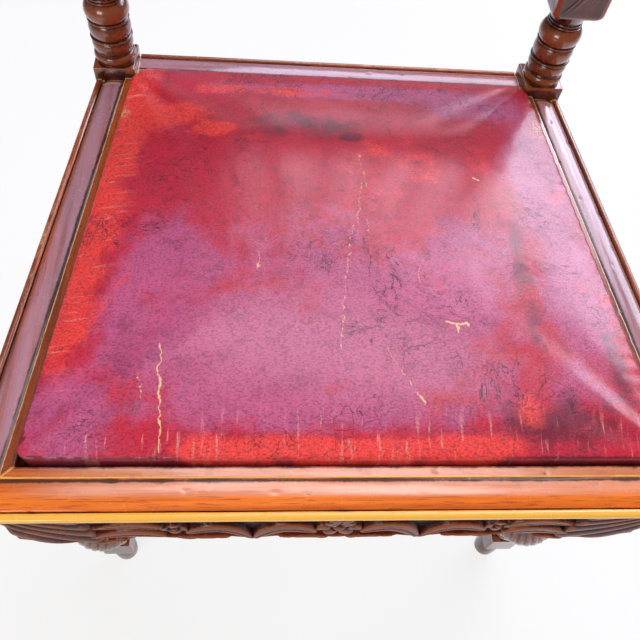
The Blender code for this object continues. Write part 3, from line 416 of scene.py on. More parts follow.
def stroke_group():
    """How near a point is to a line seen from above: 1 on it, 0 beyond its width."""
    (place, start, end, width, ragged), out = new_group(
        "ragged_stroke",
        (("Place", VECTOR, None), ("Start", VECTOR, (0, 0, 0)), ("End", VECTOR, (0, 0, 0)),
         ("Width", FLOAT, 0.001), ("Ragged", FLOAT, 0.5)),
        (("Mask", FLOAT),))
    flat = place * (1.0, 1.0, 0.0) + place.drift(130.0) * (0.0075, 0.0075, 0.0)
    run, off = end - start, flat - start
    share = (off.dot(run) / run.dot(run)).clamped()
    gap = (off - run.scaled(share)).length()
    jagged = (place.noise(380.0, 3.0, 0.7) - 0.45) * ragged
    fill(out, {"Mask": (gap / width + jagged * 6.0).step(1.0, 0.6)})


def crackle_group():
    """A net of fine cracks whose cells are pulled about, opened only in patches."""
    (place, scale, width, patch, cover), out = new_group(
        "crackle",
        (("Place", VECTOR, None), ("Scale", FLOAT, 120.0), ("Width", FLOAT, 0.05),
         ("Patch", FLOAT, 8.0), ("Cover", FLOAT, 0.5)),
        (("Mask", FLOAT),))
    pulled = place + place.drift(42.0).scaled(0.016)
    line = Value(pulled.cells(scale, "DISTANCE_TO_EDGE")["Distance"]) / width
    low = 0.75 - cover * 0.5
    opened = place.noise(patch, 4.0, 0.6).step(low, low + 0.14)
    fill(out, {"Mask": line.step(1.0, 0.2) * opened})


def weave_group():
    """Plain weave: threads over and under each other, and a colour for each thread."""
    (place, threads), out = new_group(
        "plain_weave", (("Place", VECTOR, None), ("Threads", FLOAT, 2000.0)),
        (("Height", FLOAT), ("Thread", FLOAT)))
    tree = place.tree
    axes = put(tree, "ShaderNodeSeparateXYZ", {0: place.scaled(threads)})
    wobble = place.noise(60.0, 2.0) * 3.0
    x, y = (Value(axes[k]) + wobble for k in range(2))
    column, row = x // math.pi, y // math.pi
    height = put(tree, "ShaderNodeMix",
                 {0: (column + row) % 2.0, 2: abs(x.sine()), 3: abs(y.sine())})[0]
    streak = put(tree, "ShaderNodeCombineXYZ", {0: column, 1: row})[0]
    thread = put(tree, "ShaderNodeTexWhiteNoise", {"Vector": streak})["Value"]
    fill(out, {"Height": height, "Thread": thread})


GROUP_MAKERS = {"wood_grain": grain_group, "aged_polish": age_group,
                "ragged_stroke": stroke_group, "crackle": crackle_group,
                "plain_weave": weave_group}


def place_group(tree, name, values):
    """The outputs of a shader group, which is built the first time one is asked for."""
    if name not in bpy.data.node_groups:
        GROUP_MAKERS[name]()
    return put(tree, "ShaderNodeGroup", values, node_tree=bpy.data.node_groups[name])


def new_material(name):
    """An empty material, its tree, its shader and the piece's own coordinates."""
    material = bpy.data.materials.new(name)
    material.use_nodes = True
    tree = material.node_tree
    return (material, tree, tree.nodes["Principled BSDF"],
            Place(put(tree, "ShaderNodeTexCoord")["Object"]))


def kept_on_piece(tree, name):
    """A number that each piece keeps for every one of its points."""
    return Value(put(tree, "ShaderNodeAttribute", attribute_name=name)["Fac"])


def bumped(height, strength, distance):
    return put(height.tree, "ShaderNodeBump",
               {"Strength": strength, "Distance": distance, "Height": height})[0]


DOTTED_FROM = 0.60
GRAIN = {"x": (0.045, 1.0, 1.0), "y": (1.0, 0.045, 1.0), "z": (1.0, 1.0, 0.045)}


def wood_material(name, grain, light, dark, wear, soil_and_shade, gloss, figure=0.8, coat=0.0,
                  shift=0.0, worn=None, painted_sheen=None, specular=0.5):
    """Polished wood with its grain along one axis, worn and soiled with age."""
    known = bpy.data.materials.get(name)
    if known:
        return known
    wood = bpy.context.scene.chair_wood
    material, tree, shader, place = new_material(name)
    moved = place + (shift, shift, shift)
    grained = place_group(tree, "wood_grain", {
        "Place": moved, "Grain": GRAIN[grain], "Light": (*light[:3], 1.0),
        "Dark": (*dark[:3], 1.0), "Figure": figure})
    colour = grained["Colour"]
    # A painted sheen laid into the colour: a painted highlight on the front moulding's top, a
    # painted reflection on the other mouldings.
    if painted_sheen is not None:
        uneven = (place * GRAIN[grain]).noise(160.0, 4.0).step(0.34, 0.62, 0.45)
        faded = kept_on_piece(tree, "faded") * uneven
        colour = faded.between(colour, (*painted_sheen, 1.0))
    aged = place_group(tree, "aged_polish", {
        "Place": moved, "Colour": colour, "Relief": kept_on_piece(tree, "relief"),
        "Worn": (*(wood.worn if worn is None else worn), 1.0),
        "Grime": (*wood.grime_and_shade, 1.0), "Wear": wear, "Soil": soil_and_shade, "Gloss": gloss})
    height = Value(aged["Height"]) - Value(grained["Pores"]) * 0.5
    fill(shader, {
        "Base Color": aged["Colour"], "Roughness": aged["Roughness"],
        "Normal": bumped(height, 0.22, 0.0004), "Specular IOR Level": specular,
        "Coat Weight": coat, "Coat Roughness": 0.10})
    return material


def moulding_wood(grain, front=False):
    wood = bpy.context.scene.chair_wood
    # The front moulding takes the lit copy of the moulding's wood with a painted highlight on its
    # top; the others take a painted reflection.
    if front:
        name, tints = "mahogany_front", (wood.front, wood.front_lit_dark)
        worn, painted_sheen = wood.front_lit_worn, wood.painted_sheen
    else:
        name, tints = "mahogany_moulding_" + grain, (wood.moulding, wood.moulding_dark)
        worn, painted_sheen = wood.rubbed, wood.painted_reflection
    return wood_material(name, grain, *tints, wear=0.85, soil_and_shade=0.9, gloss=0.26, coat=0.9,
                         worn=worn, painted_sheen=painted_sheen)


def turned_wood(grain="z"):
    wood = bpy.context.scene.chair_wood
    return wood_material("mahogany_turned_" + grain, grain, wood.turned, wood.turned_dark,
                         wear=0.34, soil_and_shade=0.8, gloss=0.22, coat=1.0, shift=0.37)


def carved_wood():
    """The posts' wood, duller where it is carved."""
    wood = bpy.context.scene.chair_wood
    return wood_material("mahogany_carved_x", "x", wood.turned, wood.turned_dark,
                         wear=0.34, soil_and_shade=0.75, gloss=0.30, coat=0.15, shift=0.37,
                         specular=0.22)


def plain_wood(grain):
    """Unpolished beech, as inside the frame."""
    return wood_material("beech_" + grain, grain, linear(176, 138, 92), linear(128, 92, 56),
                         wear=0.15, soil_and_shade=0.6, gloss=0.62, figure=0.7, shift=0.11)


def jute_material(name, threads, colour):
    """Coarse jute cloth: a plain weave of uneven threads."""
    known = bpy.data.materials.get(name)
    if known:
        return known
    material, tree, shader, place = new_material(name)
    weave = place_group(tree, "plain_weave", {"Place": place, "Threads": threads})
    height, thread = Value(weave["Height"]), Value(weave["Thread"])
    shade = ((height * 0.7 + thread * 0.35) * place.noise(26.0, 4.0)).clamped()
    dark = tuple(value * 0.35 for value in colour[:3]) + (1.0,)
    fill(shader, {"Base Color": (shade * 1.8).clamped().between(dark, colour),
                  "Roughness": 0.9, "Normal": bumped(height, 0.7, 0.0006)})
    return material


def iron_material():
    """Old iron of tacks and screws, darkened and rusty in places."""
    known = bpy.data.materials.get("old_iron")
    if known:
        return known
    material, _, shader, place = new_material("old_iron")
    rust = place.noise(260.0, 4.0, 0.6).step(0.48, 0.62)
    fill(shader, {"Base Color": rust.between(linear(96, 90, 86), linear(98, 52, 30)),
                  "Metallic": 0.95 - rust * 0.8, "Roughness": rust * 0.4 + 0.35})
    return material


def leather_material():
    """Glossy red leather: rubbed edges, mauve bloom, stains, cracks and bare scuffs."""
    known = bpy.data.materials.get("worn_red_leather")
    if known:
        return known
    dye = bpy.context.scene.chair_leather
    material, tree, shader, place = new_material("worn_red_leather")
    edge, bloom, stain, nicks, pleats = (
        kept_on_piece(tree, name) for name in ("edge", "bloom", "stain", "nicks", "pleats"))
    mottle = place.noise(90.0, 5.0, 0.65)
    threads = (place * (0.75, 1.25, 1.0)).noise(640.0, 3.0, 0.7)
    ragged = (place.noise(34.0, 7.0, 0.70) - 0.5) * 1.9
    colour = (*dye.red, 1.0)
    for mark, low, high, most, tint in (
            (bloom, 0.10, 0.80, 0.92, dye.bloom), (stain, 0.25, 0.80, 0.80, dye.stain),
            (edge, 0.25, 0.75, 0.95, dye.bright)):
        share = (mark + ragged).step(low, high) * most
        colour = share.between(colour, (*tint, 1.0))
    pale_lines = greatest([
        ((place * squeeze).noise(270.0, 3.0, 0.6).step(0.57, 0.66) * (pleats * sign)).clamped()
        for squeeze, sign in (((1.0, 0.10, 0.10), 0.55), ((0.08, 1.0, 0.10), -0.55))])
    colour = pale_lines.between(colour, linear(246, 168, 160))
    nets = []
    for scale, width, patch, cover, depth in ((400.0, 0.060, 14.0, 0.70, 0.34),
                                              (130.0, 0.026, 10.0, 0.52, 0.75)):
        net = place_group(tree, "crackle", {"Place": place, "Scale": scale, "Width": width,
                                            "Patch": patch, "Cover": cover})
        nets.append(Value(net["Mask"]) * depth)
    cracks = greatest([*nets, leather_creases(place)])
    darker, flecks = mottle.step(0.50, 0.72) * 0.26, threads.step(0.48, 0.62) * 0.46
    for share in (darker, flecks, cracks):
        colour = share.between(colour, (*dye.crack, 1.0))
    chips = place.noise(480.0, 4.0, 0.7)
    dotted = chips.step(0.46, 0.60, 0.15)
    marks = []
    for start, end, width, jag in leather_scuffs():
        stroke = place_group(tree, "ragged_stroke", {
            "Place": place, "Start": start, "End": end, "Width": width, "Ragged": jag})
        mask = Value(stroke["Mask"])
        marks.append(mask * dotted if jag > DOTTED_FROM else mask)
    bare = greatest([*marks, nicks * chips.step(0.44, 0.60)]).clamped()
    rough = (mottle * 0.34 + 0.20 + bare * 0.4 + cracks * 0.25).clamped()
    height = (Value(place.cells(900.0)[0]) * 0.30 - cracks * 0.9 + mottle * 0.8
              + threads * 0.5 - bare * 0.5)
    fill(shader, {"Base Color": bare.between(colour, (*dye.bare, 1.0)), "Roughness": rough,
                  "Normal": bumped(height, 0.55, 0.0007), "Coat Weight": 0.8,
                  "Coat Roughness": 0.24})
    return material


def leather_creases(place):
    """Long, branching hair-line creases, gathered in patches."""
    creases = []
    for squeeze, scale, patch in (((1.0, 0.55, 1.0), 30.0, 11.0),
                                  ((0.6, 1.0, 1.0), 52.0, 15.0)):
        field = (place * squeeze).noise(scale, 6.0, 0.66, 0.6)
        line = abs(field - 0.5).step(0.0090, 0.0025)
        creases.append(line * (place.noise(patch, 3.0, 0.6).step(0.52, 0.64) * 0.95))
    return greatest(creases)


def leather_scuffs():
    """Bare strokes on the seat: start, end, half width and raggedness, from above."""
    strokes = (
        ((0.0644, -0.0868), (0.0812, -0.0897), 0.0012, 0.35),
        ((0.0730, -0.0880), (0.0728, -0.0960), 0.0010, 0.35),
        ((-0.1289, -0.1058), (-0.1244, -0.1761), 0.0007, 0.55),
        ((-0.1406, -0.1266), (-0.1377, -0.1428), 0.0006, 0.90),
        ((0.0130, 0.0673), (0.0173, 0.0332), 0.0007, 0.85),
        ((0.0127, 0.0351), (0.0071, -0.0070), 0.0007, 1.00),
        ((0.0040, -0.0071), (-0.0025, -0.0468), 0.0007, 1.00),
        ((-0.0012, -0.0352), (-0.0090, -0.1086), 0.0006, 1.05),
        ((0.0151, 0.0000), (0.0157, -0.0143), 0.0006, 0.90),
        ((-0.0653, -0.0317), (-0.0664, -0.0485), 0.0007, 0.70),
        ((0.1040, 0.0490), (0.1085, 0.0462), 0.0009, 0.45),
        ((0.0211, -0.1066), (0.0432, -0.1443), 0.0003, 1.10),
        ((0.0420, -0.1390), (0.0445, -0.1460), 0.0009, 0.60),
        ((0.0532, -0.0336), (0.0477, -0.0568), 0.0005, 0.90),
    )
    return [((x0, y0 + SEAT.y, 0.0), (x1, y1 + SEAT.y, 0.0), width, jag)
            for (x0, y0), (x1, y1), width, jag in strokes]


# Mesh building


def grid_quads(rows, columns, closed=False, start=0):
    """Quads over a grid of points kept row by row, its columns joined up if closed."""
    i, j = np.meshgrid(np.arange(rows - 1), np.arange(columns if closed else columns - 1),
                       indexing="ij")
    down, right = i + 1, (j + 1) % columns
    quads = np.stack([i * columns + j, i * columns + right, down * columns + right,
                      down * columns + j], axis=-1)
    return (quads.reshape(-1, 4) + start).tolist()


def grid_rim(rows, columns):
    """(row, column) of the points round a grid's edge, once round."""
    return ([(i, 0) for i in range(rows - 1)]
            + [(rows - 1, j) for j in range(columns - 1)]
            + [(i, columns - 1) for i in range(rows - 1, 0, -1)]
            + [(0, j) for j in range(columns - 1, 0, -1)])


def smooth_steps(values):
    values = np.clip(values, 0.0, 1.0)
    return values * values * (3 - 2 * values)


def tidy_mesh(mesh, merge=0.0):
    """Merges doubled points when asked to, and turns every face outwards."""
    bm = bmesh.new()
    bm.from_mesh(mesh)
    if merge:
        bmesh.ops.remove_doubles(bm, verts=bm.verts, dist=merge)
    bmesh.ops.recalc_face_normals(bm, faces=bm.faces)
    bm.to_mesh(mesh)
    bm.free()


def make_mesh(name, verts, faces, merge=0.0):
    mesh = bpy.data.meshes.new(name)
    mesh.from_pydata([tuple(v) for v in np.asarray(verts, float)], [], faces)
    tidy_mesh(mesh, merge)
    return mesh


def closed_sheet(name, first, second):
    """A closed mesh between two grids of points that face away from each other."""
    rows, columns, _ = first.shape
    count = rows * columns
    faces = grid_quads(rows, columns)
    faces += [quad[::-1] for quad in grid_quads(rows, columns, start=count)]
    ring = [i * columns + j for i, j in grid_rim(rows, columns)]
    for here, following in zip(ring, ring[1:] + ring[:1]):
        faces.append([here, following, following + count, here + count])
    return make_mesh(name, np.concatenate([first, second]).reshape(-1, 3), faces)


def add_object(name, data):
    made = bpy.data.objects.new(name, data)
    bpy.context.scene.collection.objects.link(made)
    return made


def evaluated_mesh(holder):
    """A plain mesh of an object as its modifiers leave it."""
    bpy.context.view_layer.update()
    graph = bpy.context.evaluated_depsgraph_get()
    return bpy.data.meshes.new_from_object(holder.evaluated_get(graph))


def points_of(mesh, source="vertices", field="co"):
    data = getattr(mesh, source)
    values = np.empty(len(data) * 3, np.float32)
    data.foreach_get(field, values)
    return values.reshape(-1, 3).astype(float)


def set_points(mesh, points):
    mesh.vertices.foreach_set("co", np.asarray(points, np.float32).ravel())
    mesh.update()


def keep_value(mesh, name, values):
    """Keeps one number for each point on the mesh, for its material to read."""
    attribute = mesh.attributes.get(name) or mesh.attributes.new(name, "FLOAT", "POINT")
    attribute.data.foreach_set("value", np.asarray(values, np.float32))


RELIEF_REACH = 5
FINE_EDGE = 0.0030


def averaged(points, ends):
    """Points moved time and again to the middle of their neighbours."""
    count = np.bincount(ends.ravel(), minlength=len(points)).clip(1)[:, None]
    for _ in range(RELIEF_REACH):
        total = np.zeros_like(points)
        for axis in range(points.shape[1]):
            total[:, axis] = (
                np.bincount(ends[:, 0], points[ends[:, 1], axis], len(points))
                + np.bincount(ends[:, 1], points[ends[:, 0], axis], len(points)))
        points = total / count
    return points


def keep_relief(mesh, full, soil_and_shade):
    """Keeps how far each point stands out of its surroundings, from -1 to 1, less the
    soil that has settled there."""
    points = points_of(mesh)
    ends = np.empty(len(mesh.edges) * 2, np.int32)
    mesh.edges.foreach_get("vertices", ends)
    ends = ends.reshape(-1, 2)
    normals = points_of(mesh, source="vertex_normals", field="vector")
    stand = ((points - averaged(points, ends)) * normals).sum(axis=1)
    length = np.linalg.norm(points[ends[:, 0]] - points[ends[:, 1]], axis=1)
    longest = np.zeros(len(points))
    np.maximum.at(longest, ends[:, 0], length)
    np.maximum.at(longest, ends[:, 1], length)
    fine = np.clip(FINE_EDGE / longest.clip(1e-6), 0, 1) ** 2
    keep_value(mesh, "relief", np.clip(stand * fine / full - soil_and_shade, -1.0, 1.0))


def finish_piece(name, mesh, material, body, nodes=(), slot=None, sharp=38.0,
                 relief=0.0005, soil_and_shade=0.0):
    """Puts a finished mesh in the frame as one piece on a body, for its CAD nodes."""
    mesh.transform(TO_FRAME)
    mesh.name = name
    piece = add_object(name, mesh)
    mesh.materials.clear()
    mesh.materials.append(material)
    mesh.shade_smooth()
    mesh.set_sharp_from_angle(angle=math.radians(sharp))
    if relief:
        keep_relief(mesh, relief, soil_and_shade)
    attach(piece, body)
    if nodes:
        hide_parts(*nodes)
    return piece


def joined_mesh(name, meshes):
    """One mesh of several closed ones, united where they meet."""
    target = add_object(name, meshes[0])
    helpers = []
    for mesh in meshes[1:]:
        helper = add_object(name + "_part", mesh)
        union = target.modifiers.new("union", "BOOLEAN")
        union.operation = "UNION"
        union.solver = "MANIFOLD"
        union.object = helper
        helpers.append(helper)
    made = evaluated_mesh(target)
    for old in [target, *helpers]:
        bpy.data.objects.remove(old, do_unlink=True)
    if not made.polygons:
        raise RuntimeError(name + " came out empty")
    return made


def finish_dark(name, mesh, grain, nodes, **more):
    """Finishes a piece of the chair's dark turned wood."""
    return finish_piece("wood_" + name, mesh, turned_wood(grain), "chair", nodes,
                        "dark_mahogany", **more)


# Turned work, from the same elements as the solids but with many more points

POLE_MERGE = 0.000001
TURN_STEPS = {"straight": 3, "bead": 11, "barrel": 14, "cove": 16, "vase": 44}
RING_TURNING = (
    ("straight", 0.0016, 0.0166, 0, 0.0166),
    ("bead", 0.0080, 0.0160, 0.0180, 0.0162),
    ("straight", 0.0014, 0.0160, 0, 0.0156),
    ("barrel", 0.0114, 0.0154, 0.0176, 0.0162),
    ("bead", 0.0028, 0.0168, 0.0181, 0.0168),
    ("barrel", 0.0142, 0.0160, 0.0180, 0.0160),
    ("bead", 0.0026, 0.0166, 0.0178, 0.0166),
    ("barrel", 0.0160, 0.0160, 0.0188, 0.0142),
    ("bead", 0.0026, 0.0142, 0.0152, 0.0140),
    ("bead", 0.0026, 0.0138, 0.0148, 0.0138),
)


def turned_points(start, elements):
    """(height, radius) of a whole turning, from the bottom up."""
    points = [(start, elements[0][2])]
    height = start
    for kind, length, low, middle, high in elements:
        if abs(points[-1][1] - low) > 1e-6:
            points.append((height, low))
        steps = TURN_STEPS[kind]
        for k in range(1, steps + 1):
            share = k / steps
            if kind == "straight":
                points.append((height + length * share, low + (high - low) * share))
                continue
            along = (1 - math.cos(math.pi * share)) / 2
            swell = middle - (low + high) / 2
            bulge = swell * max(0.0, math.sin(math.pi * along)) ** 0.62
            points.append((height + length * along, low + (high - low) * along + bulge))
        height += length
    return points


def scaled_turning(elements, scale):
    return [(kind, *(value * scale for value in sizes)) for kind, *sizes in elements]


def mirrored_turning(elements):
    return [(kind, length, high or low, middle, low)
            for kind, length, low, middle, high in reversed(elements)]


def turning_length(elements):
    return sum(length for _, length, *_ in elements)


def turned_mesh(name, points, sides, place=None, ribs=None):
    """A turning about Z. Ribs are (low, high, count, depth, twist) of a gadrooned run."""
    profile = np.array(points, float)
    angles = np.arange(sides) * 2 * math.pi / sides
    radius = np.repeat(profile[:, 1][:, None], sides, axis=1)
    height = np.repeat(profile[:, 0][:, None], sides, axis=1)
    if ribs:
        low, high, count, depth, twist = ribs
        share = (height - low) / (high - low)
        inside = (share > 0) & (share < 1)
        lift = np.sin(np.pi * np.clip(share, 0, 1)) ** 0.7
        phase = angles[None, :] * count / 2 + twist * share
        radius = radius + np.where(inside, depth * lift * (np.abs(np.sin(phase)) ** 0.6 - 0.75), 0)
    x, y = radius * np.cos(angles), radius * np.sin(angles)
    verts = np.stack([x, y, height], axis=-1).reshape(-1, 3)
    poles = np.array([[0, 0, profile[0, 0]], [0, 0, profile[-1, 0]]])
    verts = np.concatenate([verts, poles])
    rows = len(profile)
    faces = grid_quads(rows, sides, closed=True)
    bottom, top = rows * sides, rows * sides + 1
    for k in range(sides):
        following = (k + 1) % sides
        faces.append([bottom, following, k])
        faces.append([top, (rows - 1) * sides + k, (rows - 1) * sides + following])
    mesh = make_mesh(name, verts, faces, POLE_MERGE)
    if place is not None:
        mesh.transform(place)
    return mesh


def square_ring(half, corner, along):
    """Points round a rounded square: each side has the given number of steps."""
    ring = []
    corner = min(corner, half * 0.9)
    for quarter in range(4):
        turn = quarter * math.pi / 2
        local = []
        for k in range(5):
            angle = -math.pi / 4 + math.pi / 2 * k / 4 - math.pi / 4
            local.append((half - corner + corner * math.cos(angle),
                          -half + corner + corner * math.sin(angle)))
        for k in range(1, along):
            local.append((half, (-half + corner) + 2 * (half - corner) * k / along))
        for a, b in local:
            ring.append((a * math.cos(turn) - b * math.sin(turn),
                         a * math.sin(turn) + b * math.cos(turn)))
    return np.array(ring)


def square_bar(name, sections, step=0.004, along=9, place=None, shape=None):
    """A bar of rounded squares through sections (x, y, z, side, corner), from below."""
    rings = []
    for lower, upper in zip(sections, sections[1:]):
        count = max(1, round(abs(upper[2] - lower[2]) / step))
        for k in range(count):
            rings.append([a + (b - a) * k / count for a, b in zip(lower, upper)])
    rings.append(list(sections[-1]))
    verts = []
    for x, y, z, side, corner in rings:
        ring = square_ring(side / 2, corner, along)
        flat = np.column_stack([ring[:, 0] + x, ring[:, 1] + y, np.full(len(ring), z)])
        verts.append(flat)
    columns = len(verts[0])
    verts = np.concatenate(verts)
    if shape:
        verts = shape(verts)
    faces = grid_quads(len(rings), columns, closed=True)
    faces.append(list(range(columns))[::-1])
    last = (len(rings) - 1) * columns
    faces.append([last + k for k in range(columns)])
    mesh = make_mesh(name, verts, faces)
    if place is not None:
        mesh.transform(place)
    return mesh


# Mouldings


ARRIS = 0.0007
BEAD_DROP = 0.0022
THUMB_HIGH, THUMB_LOW, THUMB_SWELL = -0.0010, -0.0034, 0.0023
HOLLOW_START, HOLLOW_HEIGHT, HOLLOW_INSET = -0.0108, 0.0092, 0.0044
STATION = 0.0017
KNOCKS = 16


def moulding_profile():
    """(inwards, up) points of the moulding's section, once round, with soft arrises."""
    bead = BEAD_WIDTH / 2
    centre = (bead, -BEAD_DROP - bead)
    points = [(MOULDING_WIDTH, -MOULDING_THICKNESS), (MOULDING_WIDTH, -0.0120),
              (MOULDING_WIDTH, -0.0040)]
    for k in range(6):
        angle = math.pi / 2 * k / 5
        points.append((MOULDING_WIDTH - ARRIS * (1 - math.cos(angle)),
                       -ARRIS * (1 - math.sin(angle))))
    outer = MOULDING_WIDTH - FILLET_WIDTH
    for k in range(1, 6):
        points.append((MOULDING_WIDTH - ARRIS + (outer + 0.0012 - MOULDING_WIDTH) * k / 6, 0.0))
    for k in range(5):
        angle = math.pi / 2 * k / 4
        points.append((outer + 0.0005 * (1 - math.sin(angle)),
                       -0.0005 * (1 - math.cos(angle))))
    points.append((outer - 0.0001, -0.0012))
    steps = 26
    for k in range(steps + 1):
        share = k / steps
        u = outer - 0.0003 + (BEAD_WIDTH + 0.0004 - outer + 0.0003) * share
        drop = THUMB_HIGH + (THUMB_LOW - THUMB_HIGH) * share
        swell = THUMB_SWELL * math.sin(math.pi * share) ** 0.75 * (0.55 + 0.45 * share)
        points.append((u, drop + swell))
    points.append((BEAD_WIDTH + 0.0001, -0.0046))
    points.append((BEAD_WIDTH - 0.0001, -0.0050))
    for k in range(15):
        angle = math.radians(28 + k * 13.5)
        points.append((centre[0] + bead * math.cos(angle), centre[1] + bead * math.sin(angle)))
    points.append((0.0034, -0.0090))
    points.append((0.0036, -0.0106))
    for k in range(10):
        angle = math.pi / 2 * k / 9
        points.append((UNDERCUT - (UNDERCUT - HOLLOW_INSET) * math.cos(angle),
                       HOLLOW_START - HOLLOW_HEIGHT * math.sin(angle)))
    points.append((UNDERCUT, -MOULDING_THICKNESS))
    return np.array(points)


def section_normals(profile):
    """Outward directions of a section's points, in its own plane."""
    before, after = np.roll(profile, 1, axis=0), np.roll(profile, -1, axis=0)
    run = after - before
    normal = np.column_stack([run[:, 1], -run[:, 0]])
    normal /= np.linalg.norm(normal, axis=1)[:, None].clip(1e-9)
    area = (before[:, 0] * profile[:, 1] - profile[:, 0] * before[:, 1]).sum()
    return normal if area > 0 else -normal


def moulding_piece(label, start, end, start_cut, end_cut, grain, seed):
    """One length of moulding between two cuts, with its knocks and unevenness."""
    wood = bpy.context.scene.chair_wood
    start, end = Vector(start), Vector(end)
    along = (end - start).normalized()
    inwards = Vector((-along.y, along.x))
    profile = moulding_profile()
    normals = section_normals(profile)
    runs = []
    for point, normal in (start_cut, end_cut):
        point, normal = Vector(point), Vector(normal)
        runs.append([(point - (start + inwards * u)).dot(normal) / along.dot(normal)
                     for u, _ in profile])
    runs = np.array(runs)
    stations = int((end - start).length / STATION)
    share = np.linspace(0, 1, stations + 1)[:, None]
    run = runs[0] * (1 - share) + runs[1] * share
    u = np.repeat(profile[:, 0][None], stations + 1, axis=0)
    z = np.repeat(profile[:, 1][None], stations + 1, axis=0)
    # knocks and a slow waviness, along the section's own outward direction
    rng = np.random.default_rng(seed)
    push = 0.00004 * np.sin(run * 61 + 1.3) + 0.00002 * np.sin(run * 173 + u * 300)
    for _ in range(KNOCKS):
        where, inset = rng.uniform(0.01, run.max() - 0.01), rng.uniform(0.0, 0.032)
        size, depth = rng.uniform(0.0009, 0.0026), rng.uniform(0.3, 1.0) * wood.dent_depth
        gap = np.hypot((run - where) / rng.uniform(0.8, 2.2), u - inset) / size
        push -= depth * np.exp(-gap * gap)
    chips = np.clip(np.sin(run * 213 + 3 * np.sin(run * 57 + seed)) - 0.72, 0, None)
    push -= 0.0030 * chips * (u < 0.0022) * (z < -0.0066)
    push *= (z > -0.0105)
    if label in ("left", "right"):
        post_end = runs[1] - run if label == "right" else run - runs[0]
        thumb = (u > BEAD_WIDTH + 0.0010) & (u < MOULDING_WIDTH - FILLET_WIDTH - 0.0006)
        push -= thumb * (z > -0.006) * 0.0026 * (1 - smooth_steps(post_end / 0.0070))
    if label in ("front", "rear"):
        push *= smooth_steps(np.minimum(run - runs[0], runs[1] - run) / 0.004)
    u = u + push * normals[:, 0]
    z = z + push * normals[:, 1]
    x = start.x + inwards.x * u + along.x * run
    y = start.y + inwards.y * u + along.y * run
    verts = np.stack([x, y, z], axis=-1).reshape(-1, 3)
    columns = len(profile)
    faces = grid_quads(stations + 1, columns, closed=True)
    faces.append(list(range(columns)))
    faces.append([stations * columns + k for k in reversed(range(columns))])
    mesh = make_mesh("moulding", verts, faces)
    outer = MOULDING_WIDTH - FILLET_WIDTH
    inset = profile[:, 0]
    # Grime and painted shade darken the grooves by the fillet and the bead and the inner edge by
    # the leather; the fillet's outer arris is rubbed paler.
    soil_and_shade = np.maximum(np.exp(-((inset - outer + 0.0014) / 0.0014) ** 2),
                      np.exp(-((inset - BEAD_WIDTH) / 0.0012) ** 2))
    soil_and_shade = 0.8 * np.maximum(soil_and_shade, np.exp(-((inset - MOULDING_WIDTH) / 0.0014) ** 2))
    soil_and_shade = np.where(np.abs(inset - outer - 0.0004) < 0.0005, -0.55, soil_and_shade)
    if label == "front":
        soil_and_shade = np.where((inset < BEAD_WIDTH - 0.0004) & (profile[:, 1] > -0.0075), -0.75, soil_and_shade)
    soil_and_shade = np.tile(soil_and_shade * (profile[:, 1] > -0.0090), stations + 1)
    across = (outer - inset) / (outer - BEAD_WIDTH)
    # Where the painted sheen goes: a painted highlight over the front moulding's fillet and upper
    # thumb, weaker towards its ends, and a painted reflection band along the other mouldings'
    # thumbs.
    if label == "front":
        faded = (1 - smooth_steps((across - 0.50) / 0.16)) * (inset > BEAD_WIDTH)
        reach = smooth_steps((x + 0.225) / 0.070) * (1 - 0.45 * smooth_steps((x - 0.02) / 0.16))
        # Painted shade at the left end of the front moulding.
        soil_and_shade = soil_and_shade + 1.7 * smooth_steps((-x.ravel() - 0.237) / 0.012)
    else:
        faded = smooth_steps(across / 0.20) * (1 - smooth_steps((across - 0.74) / 0.20))
        reach = np.full(x.shape, 0.60)
    keep_value(mesh, "faded", (faded * reach).ravel())
    return finish_piece("wood_moulding_" + label, mesh, moulding_wood(grain, label == "front"),
                        "chair", ("moulding_" + label,), "mahogany", sharp=42.0,
                        relief=0.0006, soil_and_shade=soil_and_shade)


def build_mouldings():
    front_left, front_right = (-FRONT_WIDTH / 2, FRONT_Y), (FRONT_WIDTH / 2, FRONT_Y)
    rear_left, rear_right = (-REAR_WIDTH / 2, REAR_Y), (REAR_WIDTH / 2, REAR_Y)
    inner_y = FRONT_Y + MOULDING_WIDTH
    inner_left = Vector((-half_width(inner_y, MOULDING_WIDTH), inner_y))
    mitre = (inner_left - Vector(front_left)).normalized()
    across_left, across_right = Vector((-mitre.y, mitre.x)), Vector((mitre.y, mitre.x))
    step = GAP / 2
    left_in, left_out = (Vector(front_left) + across_left * way * step for way in (1, -1))
    right_in, right_out = (Vector(front_right) + across_right * way * step for way in (1, -1))
    post_face = (0, POST_FRONT - GAP)
    post_inner = POST_X - POST_BLOCK / 2 - GAP
    lengths = (
        ("front", front_left, front_right, (left_out, across_left),
         (right_out, across_right), "x", 3),
        ("right", front_right, rear_right, (right_in, across_right),
         (post_face, (0, 1)), "y", 5),
        ("rear", rear_right, rear_left, ((post_inner, 0), (1, 0)),
         ((-post_inner, 0), (1, 0)), "x", 8),
        ("left", rear_left, front_left, (post_face, (0, 1)), (left_in, across_left), "y", 13),
    )
    for length in lengths:
        moulding_piece(*length)


# Back posts

LEAF_DEPTH = 0.0016


def post_lower_turning():
    start = PLINTH_HEIGHT - 0.0004
    cove = CARVED_BLOCK_START - start - turning_length(RING_TURNING) + 0.0035
    return turned_points(start, [*RING_TURNING, ("cove", cove, 0.0142, 0.01735, 0.0205)])


